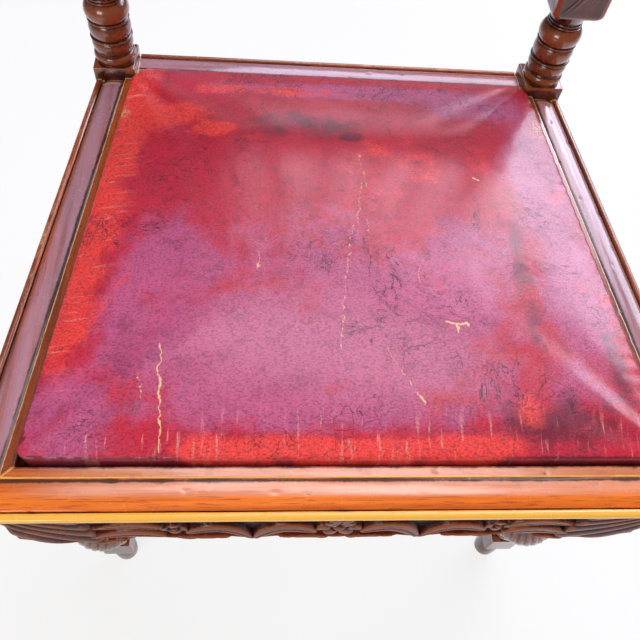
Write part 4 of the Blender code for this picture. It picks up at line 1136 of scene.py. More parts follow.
def column_turning(start, length):
    """A slender baluster between two short runs of rings."""
    radius = COLUMN_RADIUS
    rings = scaled_turning(RING_TURNING[4:8], radius / RING_RADIUS)
    upper = mirrored_turning(rings)
    middle = (length - turning_length(rings) - turning_length(upper)) / 2
    neck = radius * 0.72
    vases = [("vase", middle, neck, radius * 0.98, radius * 0.60),
             ("vase", middle, radius * 0.60, radius * 0.72, neck)]
    return turned_points(start, [*rings, *vases, *upper])


def leaf_relief(across, up):
    """Height of the carving on a block's face: a low swell under two raised veins that
    curve up together from corner to corner. across runs -1 to 1, up 0 to 1."""
    swell = np.sqrt(np.clip((1 - across ** 2) * (1 - (2 * up - 1) ** 2), 0, 1))
    line = -0.80 + 1.55 * np.clip(up, 0, 1) ** 0.75
    fade = np.sin(np.pi * np.clip(up, 0, 1)) ** 0.4
    veins = sum(np.exp(-((across - line + shift) / 0.045) ** 2) for shift in (0.0, 0.19))
    return 0.55 + 0.12 * swell + 0.33 * np.clip(veins, 0, 1) * fade


def carve_block(verts, x, y, low, high):
    """Carves a leaf into each of a post's carved block's four faces."""
    out = verts.copy()
    half = CARVED_BLOCK / 2
    up = (verts[:, 2] - low) / (high - low)
    dx, dy = verts[:, 0] - x, verts[:, 1] - y
    for axis, mine, across in ((0, dx, dy), (1, dy, dx)):
        for way in (-1, 1):
            face = (mine * way > half * 0.93) & (up > 0.02) & (up < 0.98)
            height = leaf_relief(across / half, up)
            ease = smooth_steps((1 - np.abs(across) / half) / 0.30)
            ease = ease * smooth_steps(np.minimum(up, 1 - up) / 0.24)
            lift = LEAF_DEPTH * (height - 1.0) * ease
            out[:, axis] = np.where(face, out[:, axis] + way * lift, out[:, axis])
    return out


def post_mesh(side):
    x = side * POST_X
    sections = (
        (x, REAR_FOOT_Y, FLOOR, REAR_LEG_FOOT - 0.0020, 0.0018),
        (x, REAR_FOOT_Y, FLOOR + 0.0012, REAR_LEG_FOOT, 0.0018),
        (x, POST_Y, -POST_BLOCK_DEPTH, POST_BLOCK, 0.0016),
        (x, POST_Y, PLINTH_HEIGHT - 0.0011, POST_BLOCK, 0.0014),
        (x, POST_Y, PLINTH_HEIGHT - 0.0003, POST_BLOCK - 0.0008, 0.0012),
        (x, POST_Y, PLINTH_HEIGHT, POST_BLOCK - 0.0020, 0.0010),
    )
    leg = square_bar("leg", sections, step=0.005, along=7)
    place = Matrix.Translation((x, POST_Y, 0))
    rings = turned_mesh("rings", post_lower_turning(), 72, place)
    start, end = CARVED_BLOCK_START, CARVED_BLOCK_START + CARVED_BLOCK_HEIGHT
    carved_sections = (
        (x, POST_Y, start, CARVED_BLOCK - 0.0062, 0.0070),
        (x, POST_Y, start + 0.0012, CARVED_BLOCK - 0.0026, 0.0060),
        (x, POST_Y, start + 0.0035, CARVED_BLOCK - 0.0004, 0.0052),
        (x, POST_Y, start + 0.0060, CARVED_BLOCK, 0.0048),
        (x, POST_Y, end - 0.0060, CARVED_BLOCK, 0.0048),
        (x, POST_Y, end - 0.0020, CARVED_BLOCK - 0.0022, 0.0056),
        (x, POST_Y, end, CARVED_BLOCK - 0.0060, 0.0066),
    )
    carved = square_bar(
        "carved", carved_sections, step=0.0010, along=34,
        shape=lambda verts: carve_block(verts, x, POST_Y, start, end))
    lean = LEAN @ Matrix.Translation((x, 0, 0))
    column = turned_mesh("column", column_turning(0.0, COLUMN_LENGTH + 0.0005), 64,
                         lean)
    low, high = COLUMN_LENGTH, COLUMN_LENGTH + TOP_BLOCK_HEIGHT
    top = square_bar("top", (
        (0, 0, low, POST_BLOCK - 0.0050, 0.0040),
        (0, 0, low + 0.0020, POST_BLOCK - 0.0014, 0.0020),
        (0, 0, low + 0.0040, POST_BLOCK, 0.0014),
        (0, 0, high - 0.0012, POST_BLOCK, 0.0014),
        (0, 0, high, POST_BLOCK - 0.0024, 0.0014),
    ), step=0.003, along=10, place=lean)
    return joined_mesh("post", [leg, rings, carved, column, top])


def build_back_posts():
    for side, label in SIDES:
        finish_dark("post_" + label, post_mesh(side), "z", ("back_post_" + label,))


# Front legs


def front_leg_mesh(side):
    wood = bpy.context.scene.chair_wood
    x = side * LEG_X
    top_low = RAIL_TOP - LEG_BLOCK_DEPTH
    upper = square_bar("upper", (
        (x, LEG_Y, top_low, LEG_BLOCK - 0.0060, 0.0040),
        (x, LEG_Y, top_low + 0.0020, LEG_BLOCK - 0.0018, 0.0024),
        (x, LEG_Y, top_low + 0.0042, LEG_BLOCK, 0.0016),
        (x, LEG_Y, RAIL_TOP - 0.0010, LEG_BLOCK, 0.0016),
        (x, LEG_Y, RAIL_TOP, LEG_BLOCK - 0.0016, 0.0014),
    ), step=0.004, along=10)
    middle = FLOOR + STRETCHER_HEIGHT
    low, high = middle - STRETCHER_BLOCK_DEPTH / 2, middle + STRETCHER_BLOCK_DEPTH / 2
    block = square_bar("block", (
        (x, LEG_Y, low, STRETCHER_BLOCK - 0.0060, 0.0040),
        (x, LEG_Y, low + 0.0030, STRETCHER_BLOCK, 0.0016),
        (x, LEG_Y, high - 0.0030, STRETCHER_BLOCK, 0.0016),
        (x, LEG_Y, high, STRETCHER_BLOCK - 0.0060, 0.0040),
    ), step=0.003, along=10)
    place = Matrix.Translation((x, LEG_Y, 0))
    foot = turned_mesh("foot", turned_points(FLOOR, (
        ("bead", low - FLOOR - 0.0070, 0.0115, FOOT_RADIUS, 0.0115),
        ("straight", 0.0075, 0.0115, 0, 0.0125))), 56, place)
    bulb_low = FLOOR + LEG_BULB_HEIGHT - BULB_HALF
    bulb_high = bulb_low + 2 * BULB_HALF
    ankle = bulb_low - (high - 0.0005)
    rest = top_low + 0.0005 - bulb_high - turning_length(RING_TURNING[4:8])
    shaft = [
        ("bead", ankle / 2, 0.0140, 0.0165, 0.0140),
        ("straight", ankle / 2, 0.0125, 0, 0.0140),
        ("barrel", 2 * BULB_HALF, 0.0165, LEG_BULB_RADIUS, 0.0165),
        *RING_TURNING[4:8],
        ("cove", rest * 0.6, 0.0140, 0.0140, 0.0165),
        ("bead", rest * 0.4, 0.0165, 0.0190, 0.0165),
    ]
    points = turned_points(high - 0.0005, shaft)
    fine = []
    for (z0, r0), (z1, r1) in zip(points, points[1:]):
        count = 3 if bulb_low < (z0 + z1) / 2 < bulb_high else 1
        fine += [(z0 + (z1 - z0) * k / count, r0 + (r1 - r0) * k / count)
                 for k in range(count)]
    fine.append(points[-1])
    ribs = (bulb_low, bulb_high, wood.flutes, 0.0017, 5.0 * side)
    turned = turned_mesh("shaft", fine, 28 * 7, place, ribs)
    return joined_mesh("front_leg", [upper, block, foot, turned])


def build_front_legs():
    for side, label in SIDES:
        finish_dark("front_leg_" + label, front_leg_mesh(side), "z", ("front_leg_" + label,))


# Carved and flat pieces


def relief_panel(name, x_low, x_high, edges, front, back, relief, columns, rows):
    """A panel on edge: edges gives its lower and upper edge at x, and relief how far its
    face stands back from the front plane at (x, z, distance from the edge)."""
    x = np.linspace(x_low, x_high, columns + 1)
    share = np.linspace(0, 1, rows + 1)
    share = 0.7 * share + 0.3 * (1 - np.cos(np.pi * share)) / 2
    x, share = np.meshgrid(x, share, indexing="ij")
    low, high = edges(x)
    z = low + (high - low) * share
    rim = np.minimum(np.minimum(z - low, high - z), np.minimum(x - x_low, x_high - x))
    ease = 0.0016
    away = 1 - np.clip(rim / ease, 0, 1)
    y = front + relief(x, z, rim) + ease * (1 - np.sqrt(1 - away ** 2))
    face = np.stack([x, y, z], axis=-1)
    return closed_sheet(name, face, np.stack([x, np.full(x.shape, back), z], axis=-1))


def bent_leaf(x, z, points, width, lobes=0):
    """Height, 0 to 1, of a leaf carved along a bent midrib through three points."""
    first, bend, last = (np.array(point) for point in points)
    steps = 28
    t = np.linspace(0, 1, steps + 1)[:, None]
    line = (1 - t) ** 2 * first + 2 * (1 - t) * t * bend + t * t * last
    gap = np.full(x.shape, 1.0)
    along = np.zeros(x.shape)
    for k in range(steps):
        run = line[k + 1] - line[k]
        share = ((x - line[k, 0]) * run[0] + (z - line[k, 1]) * run[1]) / (run @ run)
        share = np.clip(share, 0, 1)
        away = np.hypot(x - line[k, 0] - share * run[0], z - line[k, 1] - share * run[1])
        along = np.where(away < gap, (k + share) / steps, along)
        gap = np.minimum(gap, away)
    reach = width * np.sin(np.pi * (0.08 + 0.90 * along ** 0.8)) ** 0.7
    if lobes:
        reach = reach * (1 - 0.20 * np.abs(np.cos(np.pi * lobes * along)))
    across = gap / np.maximum(reach, 0.00001)
    inside = smooth_steps((1 - across) / 0.22)
    height = inside * (0.55 + 0.45 * np.sqrt(np.clip(1 - across ** 2, 0, 1)))
    height -= 0.20 * inside * np.exp(-(gap / (0.09 * width)) ** 2)
    if lobes:
        ribs = np.cos(2 * np.pi * lobes * (along + 0.10 * across))
        height -= 0.10 * inside * (1 + ribs) / 2
    return np.clip(height, 0, 1)


def rosette_relief(x, z, centre, radius, petals):
    """Height of a round flower: petals about a button."""
    dx, dz = x - centre[0], z - centre[1]
    reach = np.hypot(dx, dz) / radius
    turn = np.abs(np.cos(np.arctan2(dz, dx) * petals / 2))
    petal = smooth_steps((0.80 + 0.20 * turn - reach) / 0.14) * (0.50 + 0.34 * turn ** 0.5)
    petal = petal * smooth_steps((reach - 0.30) / 0.10)
    button = np.sqrt(np.clip(1 - (reach / 0.32) ** 2, 0, 1))
    return np.maximum(petal, button)


def apron_relief(x, z, rim):
    """How far the apron's face stands back: leaves, eyes and end fans on a sunk ground."""
    side = np.abs(x)
    height = rosette_relief(x, z, (0.0, -0.1120), 0.0200, 6)
    height = np.maximum(height, 0.9 * rosette_relief(side, z, (0.1262, -0.1120), 0.0120, 4))
    leaves = (
        (((0.0200, -0.1180), (0.0480, -0.0930), (0.0660, -0.1385)), 0.0120, 0),
        (((0.1150, -0.1180), (0.0860, -0.0930), (0.0670, -0.1380)), 0.0100, 0),
        (((0.0080, -0.1330), (0.0240, -0.1370), (0.0480, -0.1300)), 0.0056, 0),
        (((0.1240, -0.1300), (0.1060, -0.1370), (0.0840, -0.1310)), 0.0056, 0),
        (((0.1360, -0.1260), (0.1620, -0.1130), (0.1900, -0.1330)), 0.0105, 0),
        (((0.1340, -0.1060), (0.1560, -0.0910), (0.1860, -0.1060)), 0.0085, 0),
        (((0.0160, -0.0860), (0.0560, -0.0560), (0.1040, -0.0780)), 0.0125, 4),
        (((0.1080, -0.0700), (0.1440, -0.0500), (0.1820, -0.0820)), 0.0115, 4),
        (((0.0000, -0.0960), (0.0010, -0.0800), (0.0000, -0.0560)), 0.0140, 3),
        (((0.1480, -0.1480), (0.1700, -0.1400), (0.1960, -0.1520)), 0.0080, 0),
    )
    for points, width, lobes in leaves:
        height = np.maximum(height, bent_leaf(side, z, points, width, lobes))
    dx, dz = side - 0.2480, z + 0.0600
    reach, turn = np.hypot(dx, dz), np.arctan2(dz, dx)
    inside = smooth_steps((reach - 0.0160) / 0.004) * smooth_steps((0.1080 - reach) / 0.006)
    inside = inside * smooth_steps((side - 0.1880 - 0.25 * (z + 0.1)) / 0.006)
    height = np.maximum(
        height, inside * (0.45 + 0.45 * np.abs(np.cos(turn * 13 + reach * 95)) ** 0.7))
    band = smooth_steps((z - RAIL_TOP + 0.0260) / 0.0016)
    lower = smooth_steps((0.0030 - rim) / 0.0016) * (z < -0.08)
    height = np.maximum(height, np.maximum(band, 0.70 * lower))
    return bpy.context.scene.chair_wood.carving * (1 - np.clip(height, 0, 1))


def apron_edges(x):
    """The apron's lower and upper edges: ears at its ends and leaf tips between."""
    drop = np.full(x.shape, APRON_DEPTH)
    end = np.clip((APRON_HALF - np.abs(x)) / APRON_EAR_LENGTH, 0, 1)
    drop = drop + APRON_EAR_DROP * np.clip(np.sin(np.pi * end), 0, 1) ** 0.7
    for centre, reach, depth in APRON_LEAVES:
        away = np.clip(np.abs(np.abs(x) - centre) / reach, 0, 1)
        drop = drop + depth * (1 + np.cos(np.pi * away)) / 2
    return RAIL_TOP - drop, np.full(x.shape, RAIL_TOP)


def build_apron():
    mesh = relief_panel("apron", -APRON_HALF, APRON_HALF, apron_edges, APRON_FRONT,
                        APRON_BACK, apron_relief, 400, 96)
    # The raised carving is rubbed lighter; the sunk ground is darkened with grime and painted
    # shade.
    back = (points_of(mesh)[:, 1] - APRON_FRONT) / bpy.context.scene.chair_wood.carving
    soil_and_shade = np.where(back < 1.3, 0.95 * np.clip(back, 0, 1) - 0.50, 0.0)
    finish_piece("wood_apron", mesh, carved_wood(), "chair", ("front_apron",),
                 "dark_mahogany", sharp=50.0, relief=0.0012, soil_and_shade=soil_and_shade)


# Stretchers

END_MERGE = 0.000002


def press_ends(mesh, axis, low, high):
    """Presses the points past two limits back onto them, and merges what that doubles."""
    points = points_of(mesh)
    points[:, axis] = np.clip(points[:, axis], low, high)
    set_points(mesh, points)
    tidy_mesh(mesh, END_MERGE)


def stretcher_turning(length, block):
    """A stretcher about its own middle, with rings each side of a plain stretch."""
    radius = STRETCHER_RADIUS
    rings = scaled_turning(RING_TURNING[4:7], radius / RING_RADIUS)
    swell = (length - 2 * turning_length(rings) - block) / 2
    return turned_points(-length / 2, [
        ("vase", swell, STRETCHER_END_RADIUS, radius * 0.95, radius * 0.80), *rings,
        ("straight", block, radius * 0.92, 0, radius * 0.92), *mirrored_turning(rings),
        ("vase", swell, radius * 0.80, radius * 0.95, STRETCHER_END_RADIUS)])


def build_stretchers():
    height = FLOOR + STRETCHER_HEIGHT
    near = LEG_Y + STRETCHER_BLOCK / 2 + GAP
    lean = REAR_LEG_SPLAY / (-POST_BLOCK_DEPTH - FLOOR)
    taper = (POST_BLOCK - REAR_LEG_FOOT) / 2 / (-POST_BLOCK_DEPTH - FLOOR)
    face = REAR_FOOT_Y - REAR_LEG_FOOT / 2 - GAP
    far = face + GAP - STRETCHER_HEIGHT * (lean + taper) + STRETCHER_SPARE
    for side, label in SIDES:
        start, end = Vector((side * LEG_X, near, height)), Vector((side * POST_X, far, height))
        run, middle = end - start, (start + end) / 2
        turn = Matrix.Rotation(math.atan2(-run.x, run.y), 4, "Z")
        place = Matrix.Translation(middle) @ turn
        bar = turned_mesh("bar", stretcher_turning(run.length + 2 * STRETCHER_SPARE, CROSS_BLOCK),
                          48, place @ Matrix.Rotation(-math.pi / 2, 4, "X"))
        half = CROSS_BLOCK / 2
        cube = square_bar("cube", (
            (0, 0, -half, CROSS_BLOCK - 0.0024, 0.0020),
            (0, 0, -half + 0.0012, CROSS_BLOCK, 0.0014),
            (0, 0, half - 0.0012, CROSS_BLOCK, 0.0014),
            (0, 0, half, CROSS_BLOCK - 0.0024, 0.0020)), place=place)
        press_ends(bar, 1, near, face - (lean + taper) * (points_of(bar)[:, 2] - FLOOR))
        finish_dark("stretcher_" + label, joined_mesh("stretcher", [bar, cube]), "y",
                    ("side_stretcher_" + label,))
    cross = turned_mesh("cross", stretcher_turning(LEG_X + POST_X, CROSS_MIDDLE), 48,
                        Matrix.Translation((0, (near + far) / 2, height))
                        @ Matrix.Rotation(math.pi / 2, 4, "Y"))
    tilt = (LEG_X - POST_X) / (far - near)
    reach = ((LEG_X + POST_X) / 2 - (GAP + CROSS_BLOCK / 2) * math.hypot(1, tilt)
             - tilt * (points_of(cross)[:, 1] - (near + far) / 2))
    press_ends(cross, 0, -reach, reach)
    finish_dark("stretcher_cross", cross, "x", ("cross_stretcher",))


# Back


def crest_edges(x):
    inner = POST_X - POST_BLOCK / 2 - GAP
    low = COLUMN_LENGTH + CREST_START
    arch = CREST_ARCH * (1 + np.cos(np.pi * np.clip(np.abs(x) / inner, 0, 1))) / 2
    return np.full(x.shape, low), low + CREST_HEIGHT + arch


def crest_relief(x, z, rim):
    """A scratched border round a fan of reeds and a pair of leaves."""
    low = COLUMN_LENGTH + CREST_START
    side = np.abs(x)
    dx, dz = x, z - low - 0.0200
    reach, turn = np.hypot(dx, dz), np.arctan2(dz, dx)
    fan = smooth_steps((0.0500 - reach) / 0.004) * smooth_steps((reach - 0.0090) / 0.002)
    fan = fan * smooth_steps((dz + 0.0010) / 0.002)
    fan = fan * (0.45 + 0.55 * np.abs(np.cos(turn * 6)) ** 0.6)
    height = np.maximum(fan, np.sqrt(np.clip(1 - (reach / 0.0085) ** 2, 0, 1)))
    for points, width in (
            (((0.060, low + 0.030), (0.090, low + 0.055), (0.140, low + 0.026)), 0.010),
            (((0.054, low + 0.018), (0.080, low + 0.010), (0.110, low + 0.020)), 0.006)):
        height = np.maximum(height, bent_leaf(side, z, points, width, 4))
    border = smooth_steps((0.0090 - rim) / 0.0012)
    groove = 0.0010 * np.exp(-((rim - 0.0062) / 0.0006) ** 2)
    return 0.0026 * (1 - np.maximum(height, border)) + groove


def rail_relief(x, z, rim):
    """Two scratched lines round a field that is sunk a little."""
    lines = sum(0.0008 * np.exp(-((rim - line) / 0.0006) ** 2) for line in (0.0050, 0.0072))
    return lines + 0.0011 * smooth_steps((rim - 0.0090) / 0.0015)


def build_back():
    inner = POST_X - CARVED_BLOCK / 2 - GAP
    low, high = LOWER_RAIL_START, LOWER_RAIL_START + LOWER_RAIL_HEIGHT
    mesh = relief_panel(
        "lower", -inner, inner, lambda x: (np.full(x.shape, low), np.full(x.shape, high)),
        POST_Y - LOWER_RAIL_THICKNESS / 2, POST_Y + LOWER_RAIL_THICKNESS / 2,
        rail_relief, 200, 48)
    finish_dark("lower_back_rail", mesh, "x", ("lower_back_rail",))
    inner = POST_X - POST_BLOCK / 2 - GAP
    crest = relief_panel("crest", -inner, inner, crest_edges, -CREST_THICKNESS / 2,
                         CREST_THICKNESS / 2, crest_relief, 300, 110)
    crest.transform(LEAN)
    finish_dark("crest_rail", crest, "x", ("crest_rail",), sharp=50.0)
    top = COLUMN_LENGTH + TOP_BLOCK_HEIGHT + GAP
    cap = FINIAL_RADIUS * 0.4
    for side, label in SIDES:
        points = turned_points(top, (
            ("straight", FINIAL_HEIGHT * 0.03, 0.0158, 0, 0.0165),
            ("straight", FINIAL_HEIGHT * 0.03, 0.0165, 0, 0.0158),
            ("cove", FINIAL_HEIGHT * 0.22, FINIAL_RADIUS, 0.0090, 0.0090),
            ("barrel", FINIAL_HEIGHT * 0.50, 0.0090, FINIAL_RADIUS, cap),
            ("bead", FINIAL_HEIGHT * 0.22, cap, cap * 1.2, cap / 3)))
        place = LEAN @ Matrix.Translation((side * POST_X, 0, 0))
        finish_dark("finial_" + label, turned_mesh("finial", points, 48, place), "z",
                    ("finial_" + label,))
    build_spindles(high + GAP)


def build_spindles(foot):
    """Five turned spindles, set out side by side from the lower rail to the crest."""
    radius = SPINDLE_RADIUS
    start = foot - GAP - RAKE_PIVOT - 0.0040
    length = COLUMN_LENGTH + CREST_START - GAP - start
    rings = [("bead", radius, radius * 0.75, radius, radius * 0.75),
             ("bead", radius * 1.4, radius * 0.75, radius * 1.1, radius * 0.75)]
    middle = (length - 2 * SPINDLE_END - 2 * turning_length(rings)) / 2
    spindle = turned_mesh("spindle", turned_points(start, [
        ("straight", SPINDLE_END, radius * 0.8, 0, radius * 0.7), *rings,
        ("vase", middle, radius * 0.66, radius * 1.15, radius * 0.62),
        ("vase", middle, radius * 0.62, radius * 0.74, radius * 0.66),
        *mirrored_turning(rings),
        ("straight", SPINDLE_END, radius * 0.7, 0, radius * 0.8)]), 28, LEAN)
    press_ends(spindle, 2, foot, None)
    spacing = 2 * (POST_X - POST_BLOCK / 2) / (SPINDLE_COUNT + 1)
    places = [((k - (SPINDLE_COUNT - 1) / 2) * spacing, 0, 0) for k in range(SPINDLE_COUNT)]
    mesh = set_out("spindles", spindle, places, [(0.0, 0.0, 0.0)] * SPINDLE_COUNT,
                   turned_wood("z"))
    finish_dark("spindles", mesh, "z",
                ["spindle_%d" % (k + 1) for k in range(SPINDLE_COUNT)])


# Repeated shapes


def set_out_tree():
    """Repeats one shape at each point of a mesh, turned by the point's own angles."""
    known = bpy.data.node_groups.get("set_out")
    if known:
        return known
    tree = bpy.data.node_groups.new("set_out", "GeometryNodeTree")
    for label, kind in (("Points", "NodeSocketGeometry"), ("Shape", "NodeSocketObject"),
                        ("Unevenness", FLOAT), ("Finish", "NodeSocketMaterial")):
        tree.interface.new_socket(label, in_out="INPUT", socket_type=kind)
    tree.interface.new_socket("Geometry", in_out="OUTPUT", socket_type="NodeSocketGeometry")
    given = tree.nodes.new("NodeGroupInput").outputs
    shape = put(tree, "GeometryNodeObjectInfo", {"Object": given["Shape"]})
    turn = put(tree, "GeometryNodeInputNamedAttribute", {"Name": "turn"},
               data_type="FLOAT_VECTOR")
    size = put(tree, "FunctionNodeRandomValue",
               {2: 1.0 - Value(given["Unevenness"]), 3: 1.0, "Seed": 7}, data_type="FLOAT")
    placed = put(tree, "GeometryNodeInstanceOnPoints", {
        "Points": given["Points"], "Instance": shape["Geometry"], "Rotation": turn[0],
        "Scale": size[1]})
    real = put(tree, "GeometryNodeRealizeInstances", {0: placed[0]})
    finished = put(tree, "GeometryNodeSetMaterial",
                   {"Geometry": real[0], "Material": given["Finish"]})
    fill(tree.nodes.new("NodeGroupOutput"), {"Geometry": finished[0]})
    return tree


def set_out(name, shape, places, turns, material, unevenness=0.0):
    """A plain mesh of one shape repeated at every place, turned by Euler angles."""
    tree = set_out_tree()
    template = add_object(name + "_shape", shape)
    points = bpy.data.meshes.new(name)
    points.from_pydata(places, [], [])
    turn = points.attributes.new("turn", "FLOAT_VECTOR", "POINT")
    turn.data.foreach_set("vector", np.array(turns, np.float32).ravel())
    holder = add_object(name, points)
    modifier = holder.modifiers.new("set out", "NODES")
    modifier.node_group = tree
    given = {item.name: item.identifier for item in tree.interface.items_tree
             if item.in_out == "INPUT"}
    modifier[given["Shape"]] = template
    modifier[given["Unevenness"]] = unevenness
    modifier[given["Finish"]] = material
    made = evaluated_mesh(holder)
    bpy.data.objects.remove(holder, do_unlink=True)
    bpy.data.objects.remove(template, do_unlink=True)
    if len(made.polygons) != len(places) * len(shape.polygons):
        raise RuntimeError(name + " came out wrong")
    return made


def tack_mesh():
    """A cut tack's low domed head, its top up."""
    return turned_mesh("tack", [(-0.0006, 0.0018), (0.0, 0.0020), (0.0003, 0.0016),
                                (0.0006, 0.0008)], 10)


def prisms(name, outlines):
    """Closed prisms, each an outline of (x, y) points between two heights."""
    verts, faces = [], []
    for outline, low, high in outlines:
        start, count = len(verts), len(outline)
        verts += [(x, y, z) for z in (low, high) for x, y in outline]
        faces += [list(range(start + first, start + first + count)) for first in (0, count)]
        for k in range(count):
            following = (k + 1) % count
            faces.append([start + k, start + following, start + count + following,
                          start + count + k])
    return make_mesh(name, verts, faces)


def screw_mesh():
    """A countersunk screw's head with its slot, its top up."""
    radius, slot, steps = 0.0040, 0.0006, 10
    lean = math.asin(slot / radius)
    arc = [lean + (math.pi - 2 * lean) * k / steps for k in range(steps + 1)]
    halves = [([(radius * math.cos(a), way * radius * math.sin(a)) for a in arc],
               -0.0024, 0.0003) for way in (1, -1)]
    turns = [k * math.pi / steps for k in range(2 * steps)]
    disc = [(radius * 0.97 * math.cos(a), radius * 0.97 * math.sin(a)) for a in turns]
    return prisms("screw", [*halves, (disc, -0.0030, -0.0009)])


def build_screws():
    """Two slotted screws through each corner block."""
    high = RAIL_TOP - BEARER_DEPTH - GAP
    middle = high - CORNER_BLOCK_DEPTH / 2
    inner = RAIL_SETBACK + RAIL_THICKNESS + GAP
    leg = CORNER_BLOCK_LEG
    places, turns = [], []
    for side in (-1, 1):
        for y, way in ((LEG_Y + LEG_BLOCK / 2 + GAP, 1), (POST_FRONT - GAP, -1)):
            along = Vector((side * half_width(y + way * leg, inner), y + way * leg, 0))
            across = Vector((side * (half_width(y, inner) - leg), y, 0))
            run = across - along
            normal = Vector((run.y, -run.x, 0)).normalized()
            if normal.x * side > 0:
                normal = -normal
            for share, lift in ((0.33, 0.009), (0.67, -0.009)):
                place = along + run * share
                places.append((place.x, place.y, middle + lift))
                spin = Matrix.Rotation(1.1 * len(places), 3, "Z")
                turns.append(tuple(
                    (normal.to_track_quat("Z", "Y").to_matrix() @ spin).to_euler()))
    iron = iron_material()
    mesh = set_out("screws", screw_mesh(), places, turns, iron)
    finish_piece("iron_screws", mesh, iron, "chair", relief=0)


# Under the leather

SLIP_FRONT_CLIP, SLIP_REAR_CLIP = 0.0120, 0.0290
HESSIAN_THICKNESS = 0.0008
TACK_INSET = SEAT_EDGE + 0.0145
TACK_LEVEL = RAIL_TOP + 0.0004
WEB_TACK_INSET = 0.0060


def slip_half(y, inset):
    """Half the slip frame's width at y, its corners clipped, on a line set in by inset."""
    front, rear = FRONT_Y + SLIP_EDGE + inset, REAR_Y - SLIP_EDGE - inset
    side = half_width(y, SLIP_EDGE + inset)
    near = half_width(front, SLIP_EDGE + inset) - SLIP_FRONT_CLIP + (y - front)
    far = half_width(rear, SLIP_EDGE + inset) - SLIP_REAR_CLIP + (rear - y)
    return min(side, near, far)


def cloth_mesh(name, x, y, low, thickness):
    """A closed cloth over a grid of points, low giving its underside at each point."""
    under = np.stack([x, y, low], axis=-1)
    return closed_sheet(name, under, under + (0, 0, thickness))


def build_under_seat():
    """Webbing woven over the slip frame, and the hessian on it."""
    jute = jute_material("jute_webbing", 1900.0, linear(150, 122, 82))
    level = SLIP_HIGH + GAP
    step = WEB_THICKNESS + GAP
    front, rear = FRONT_Y + SLIP_EDGE + WEB_INSET, REAR_Y - SLIP_EDGE - WEB_INSET
    lines = [(k - 1) * WEB_SPACING for k in range(3)]
    for k, place in enumerate(lines):
        across = place + np.linspace(-0.5, 0.5, 13) * WEB_WIDTH
        reach = half_width(place + WEB_WIDTH / 2, SLIP_EDGE + WEB_INSET)
        for kind, low, high in (("long", front, rear), ("cross", -reach, reach)):
            along = np.linspace(low, high, 121)
            lift = np.zeros(along.shape)
            for j, line in enumerate(lines):
                over = (k + j) % 2 if kind == "long" else (k + j + 1) % 2
                away = np.clip((np.abs(along - line) - WEB_WIDTH / 2) / 0.014, 0, 1)
                lift += over * (1 + np.cos(np.pi * away)) / 2
            a, c = np.meshgrid(along, across, indexing="ij")
            low_side = level + step * np.repeat(np.clip(lift, 0, 1)[:, None], 13, axis=1)
            x, y = (c, a) if kind == "long" else (a, c)
            mesh = cloth_mesh("web", x, y, low_side, WEB_THICKNESS)
            name = "jute_web_%s_%d" % (kind, k + 1)
            finish_piece(name, mesh, jute, "seat", ("web_%s_%d" % (kind, k + 1),), "jute",
                         relief=0)
    front, rear = FRONT_Y + SLIP_EDGE + HESSIAN_INSET, REAR_Y - SLIP_EDGE - HESSIAN_INSET
    y = np.linspace(front, rear, 91)
    half = np.array([slip_half(value, HESSIAN_INSET) for value in y])
    x = np.linspace(-1, 1, 91)[:, None] * half
    y = np.repeat(y[None], 91, axis=0)
    low = HESSIAN_LOW + 0.0001 + 0.0001 * np.sin(x * 70) * np.sin(y * 60 + 1)
    mesh = cloth_mesh("hessian", x, y, low, HESSIAN_THICKNESS)
    sheet = finish_piece("jute_hessian", mesh, jute_material("jute_hessian", 2600.0,
                                                             linear(168, 138, 96)),
                         "seat", ("seat_hessian",), "jute", relief=0)
    area = float(2 * np.sum((half[1:] + half[:-1]) / 2) * (rear - front) / 90)
    rear - front
    build_tacks(lines)


def build_tacks(lines):
    """Tacks through the turned-under leather, and through the ends of the webbing."""
    places, turns = [], []
    front, rear = FRONT_Y + TACK_INSET, REAR_Y - TACK_INSET
    down = (math.pi, 0.0, 0.0)
    for k in range(15):
        y = front + 0.020 + (rear - front - 0.052) * k / 14
        for side in (-1, 1):
            places.append((side * half_width(y, TACK_INSET), y, TACK_LEVEL))
            turns.append(down)
    for y, count in ((front, 16), (rear, 13)):
        for k in range(count):
            reach = half_width(y, TACK_INSET) - (0.030 if y > 0 else 0.018)
            places.append((reach * (2 * k / (count - 1) - 1), y, TACK_LEVEL))
            turns.append(down)
    high = SLIP_HIGH + GAP + WEB_THICKNESS
    ends = FRONT_Y + SLIP_EDGE + WEB_INSET + WEB_TACK_INSET
    for line in lines:
        reach = half_width(line + WEB_WIDTH / 2, SLIP_EDGE + WEB_INSET) - WEB_TACK_INSET
        for k in range(5):
            aside = line + (k / 4 - 0.5) * (WEB_WIDTH - 0.010)
            zigzag = 0.004 * (k % 2)
            for way in (-1, 1):
                places.append((aside, way * (-ends - zigzag), high))
                places.append((way * (reach - zigzag), aside, high))
                turns += [(0.0, 0.0, 0.0)] * 2
    iron = iron_material()
    mesh = set_out("tacks", tack_mesh(), places, turns, iron, 0.15)
    finish_piece("iron_tacks", mesh, iron, "seat", relief=0)


# Loose seat

SEAT_LINES = 92
PAD_LOW = 0.0022
START_CROWN_SHARE = 0.55
SWELL_LIMIT = 0.0100
CREASE_DEPTH = 0.00045
SWELL_FRAMES = 20

# Patches of the leather: (x, y, half width, half depth, strength)
RUBBED_SPOTS = (
    (-0.103, 0.095, 0.020, 0.010, 1.0), (-0.141, 0.116, 0.040, 0.016, 0.9),
    (0.040, 0.060, 0.050, 0.050, 0.34), (0.110, 0.085, 0.014, 0.030, 0.50),
    (0.118, -0.150, 0.012, 0.014, 0.6), (-0.060, 0.150, 0.120, 0.010, 0.6))
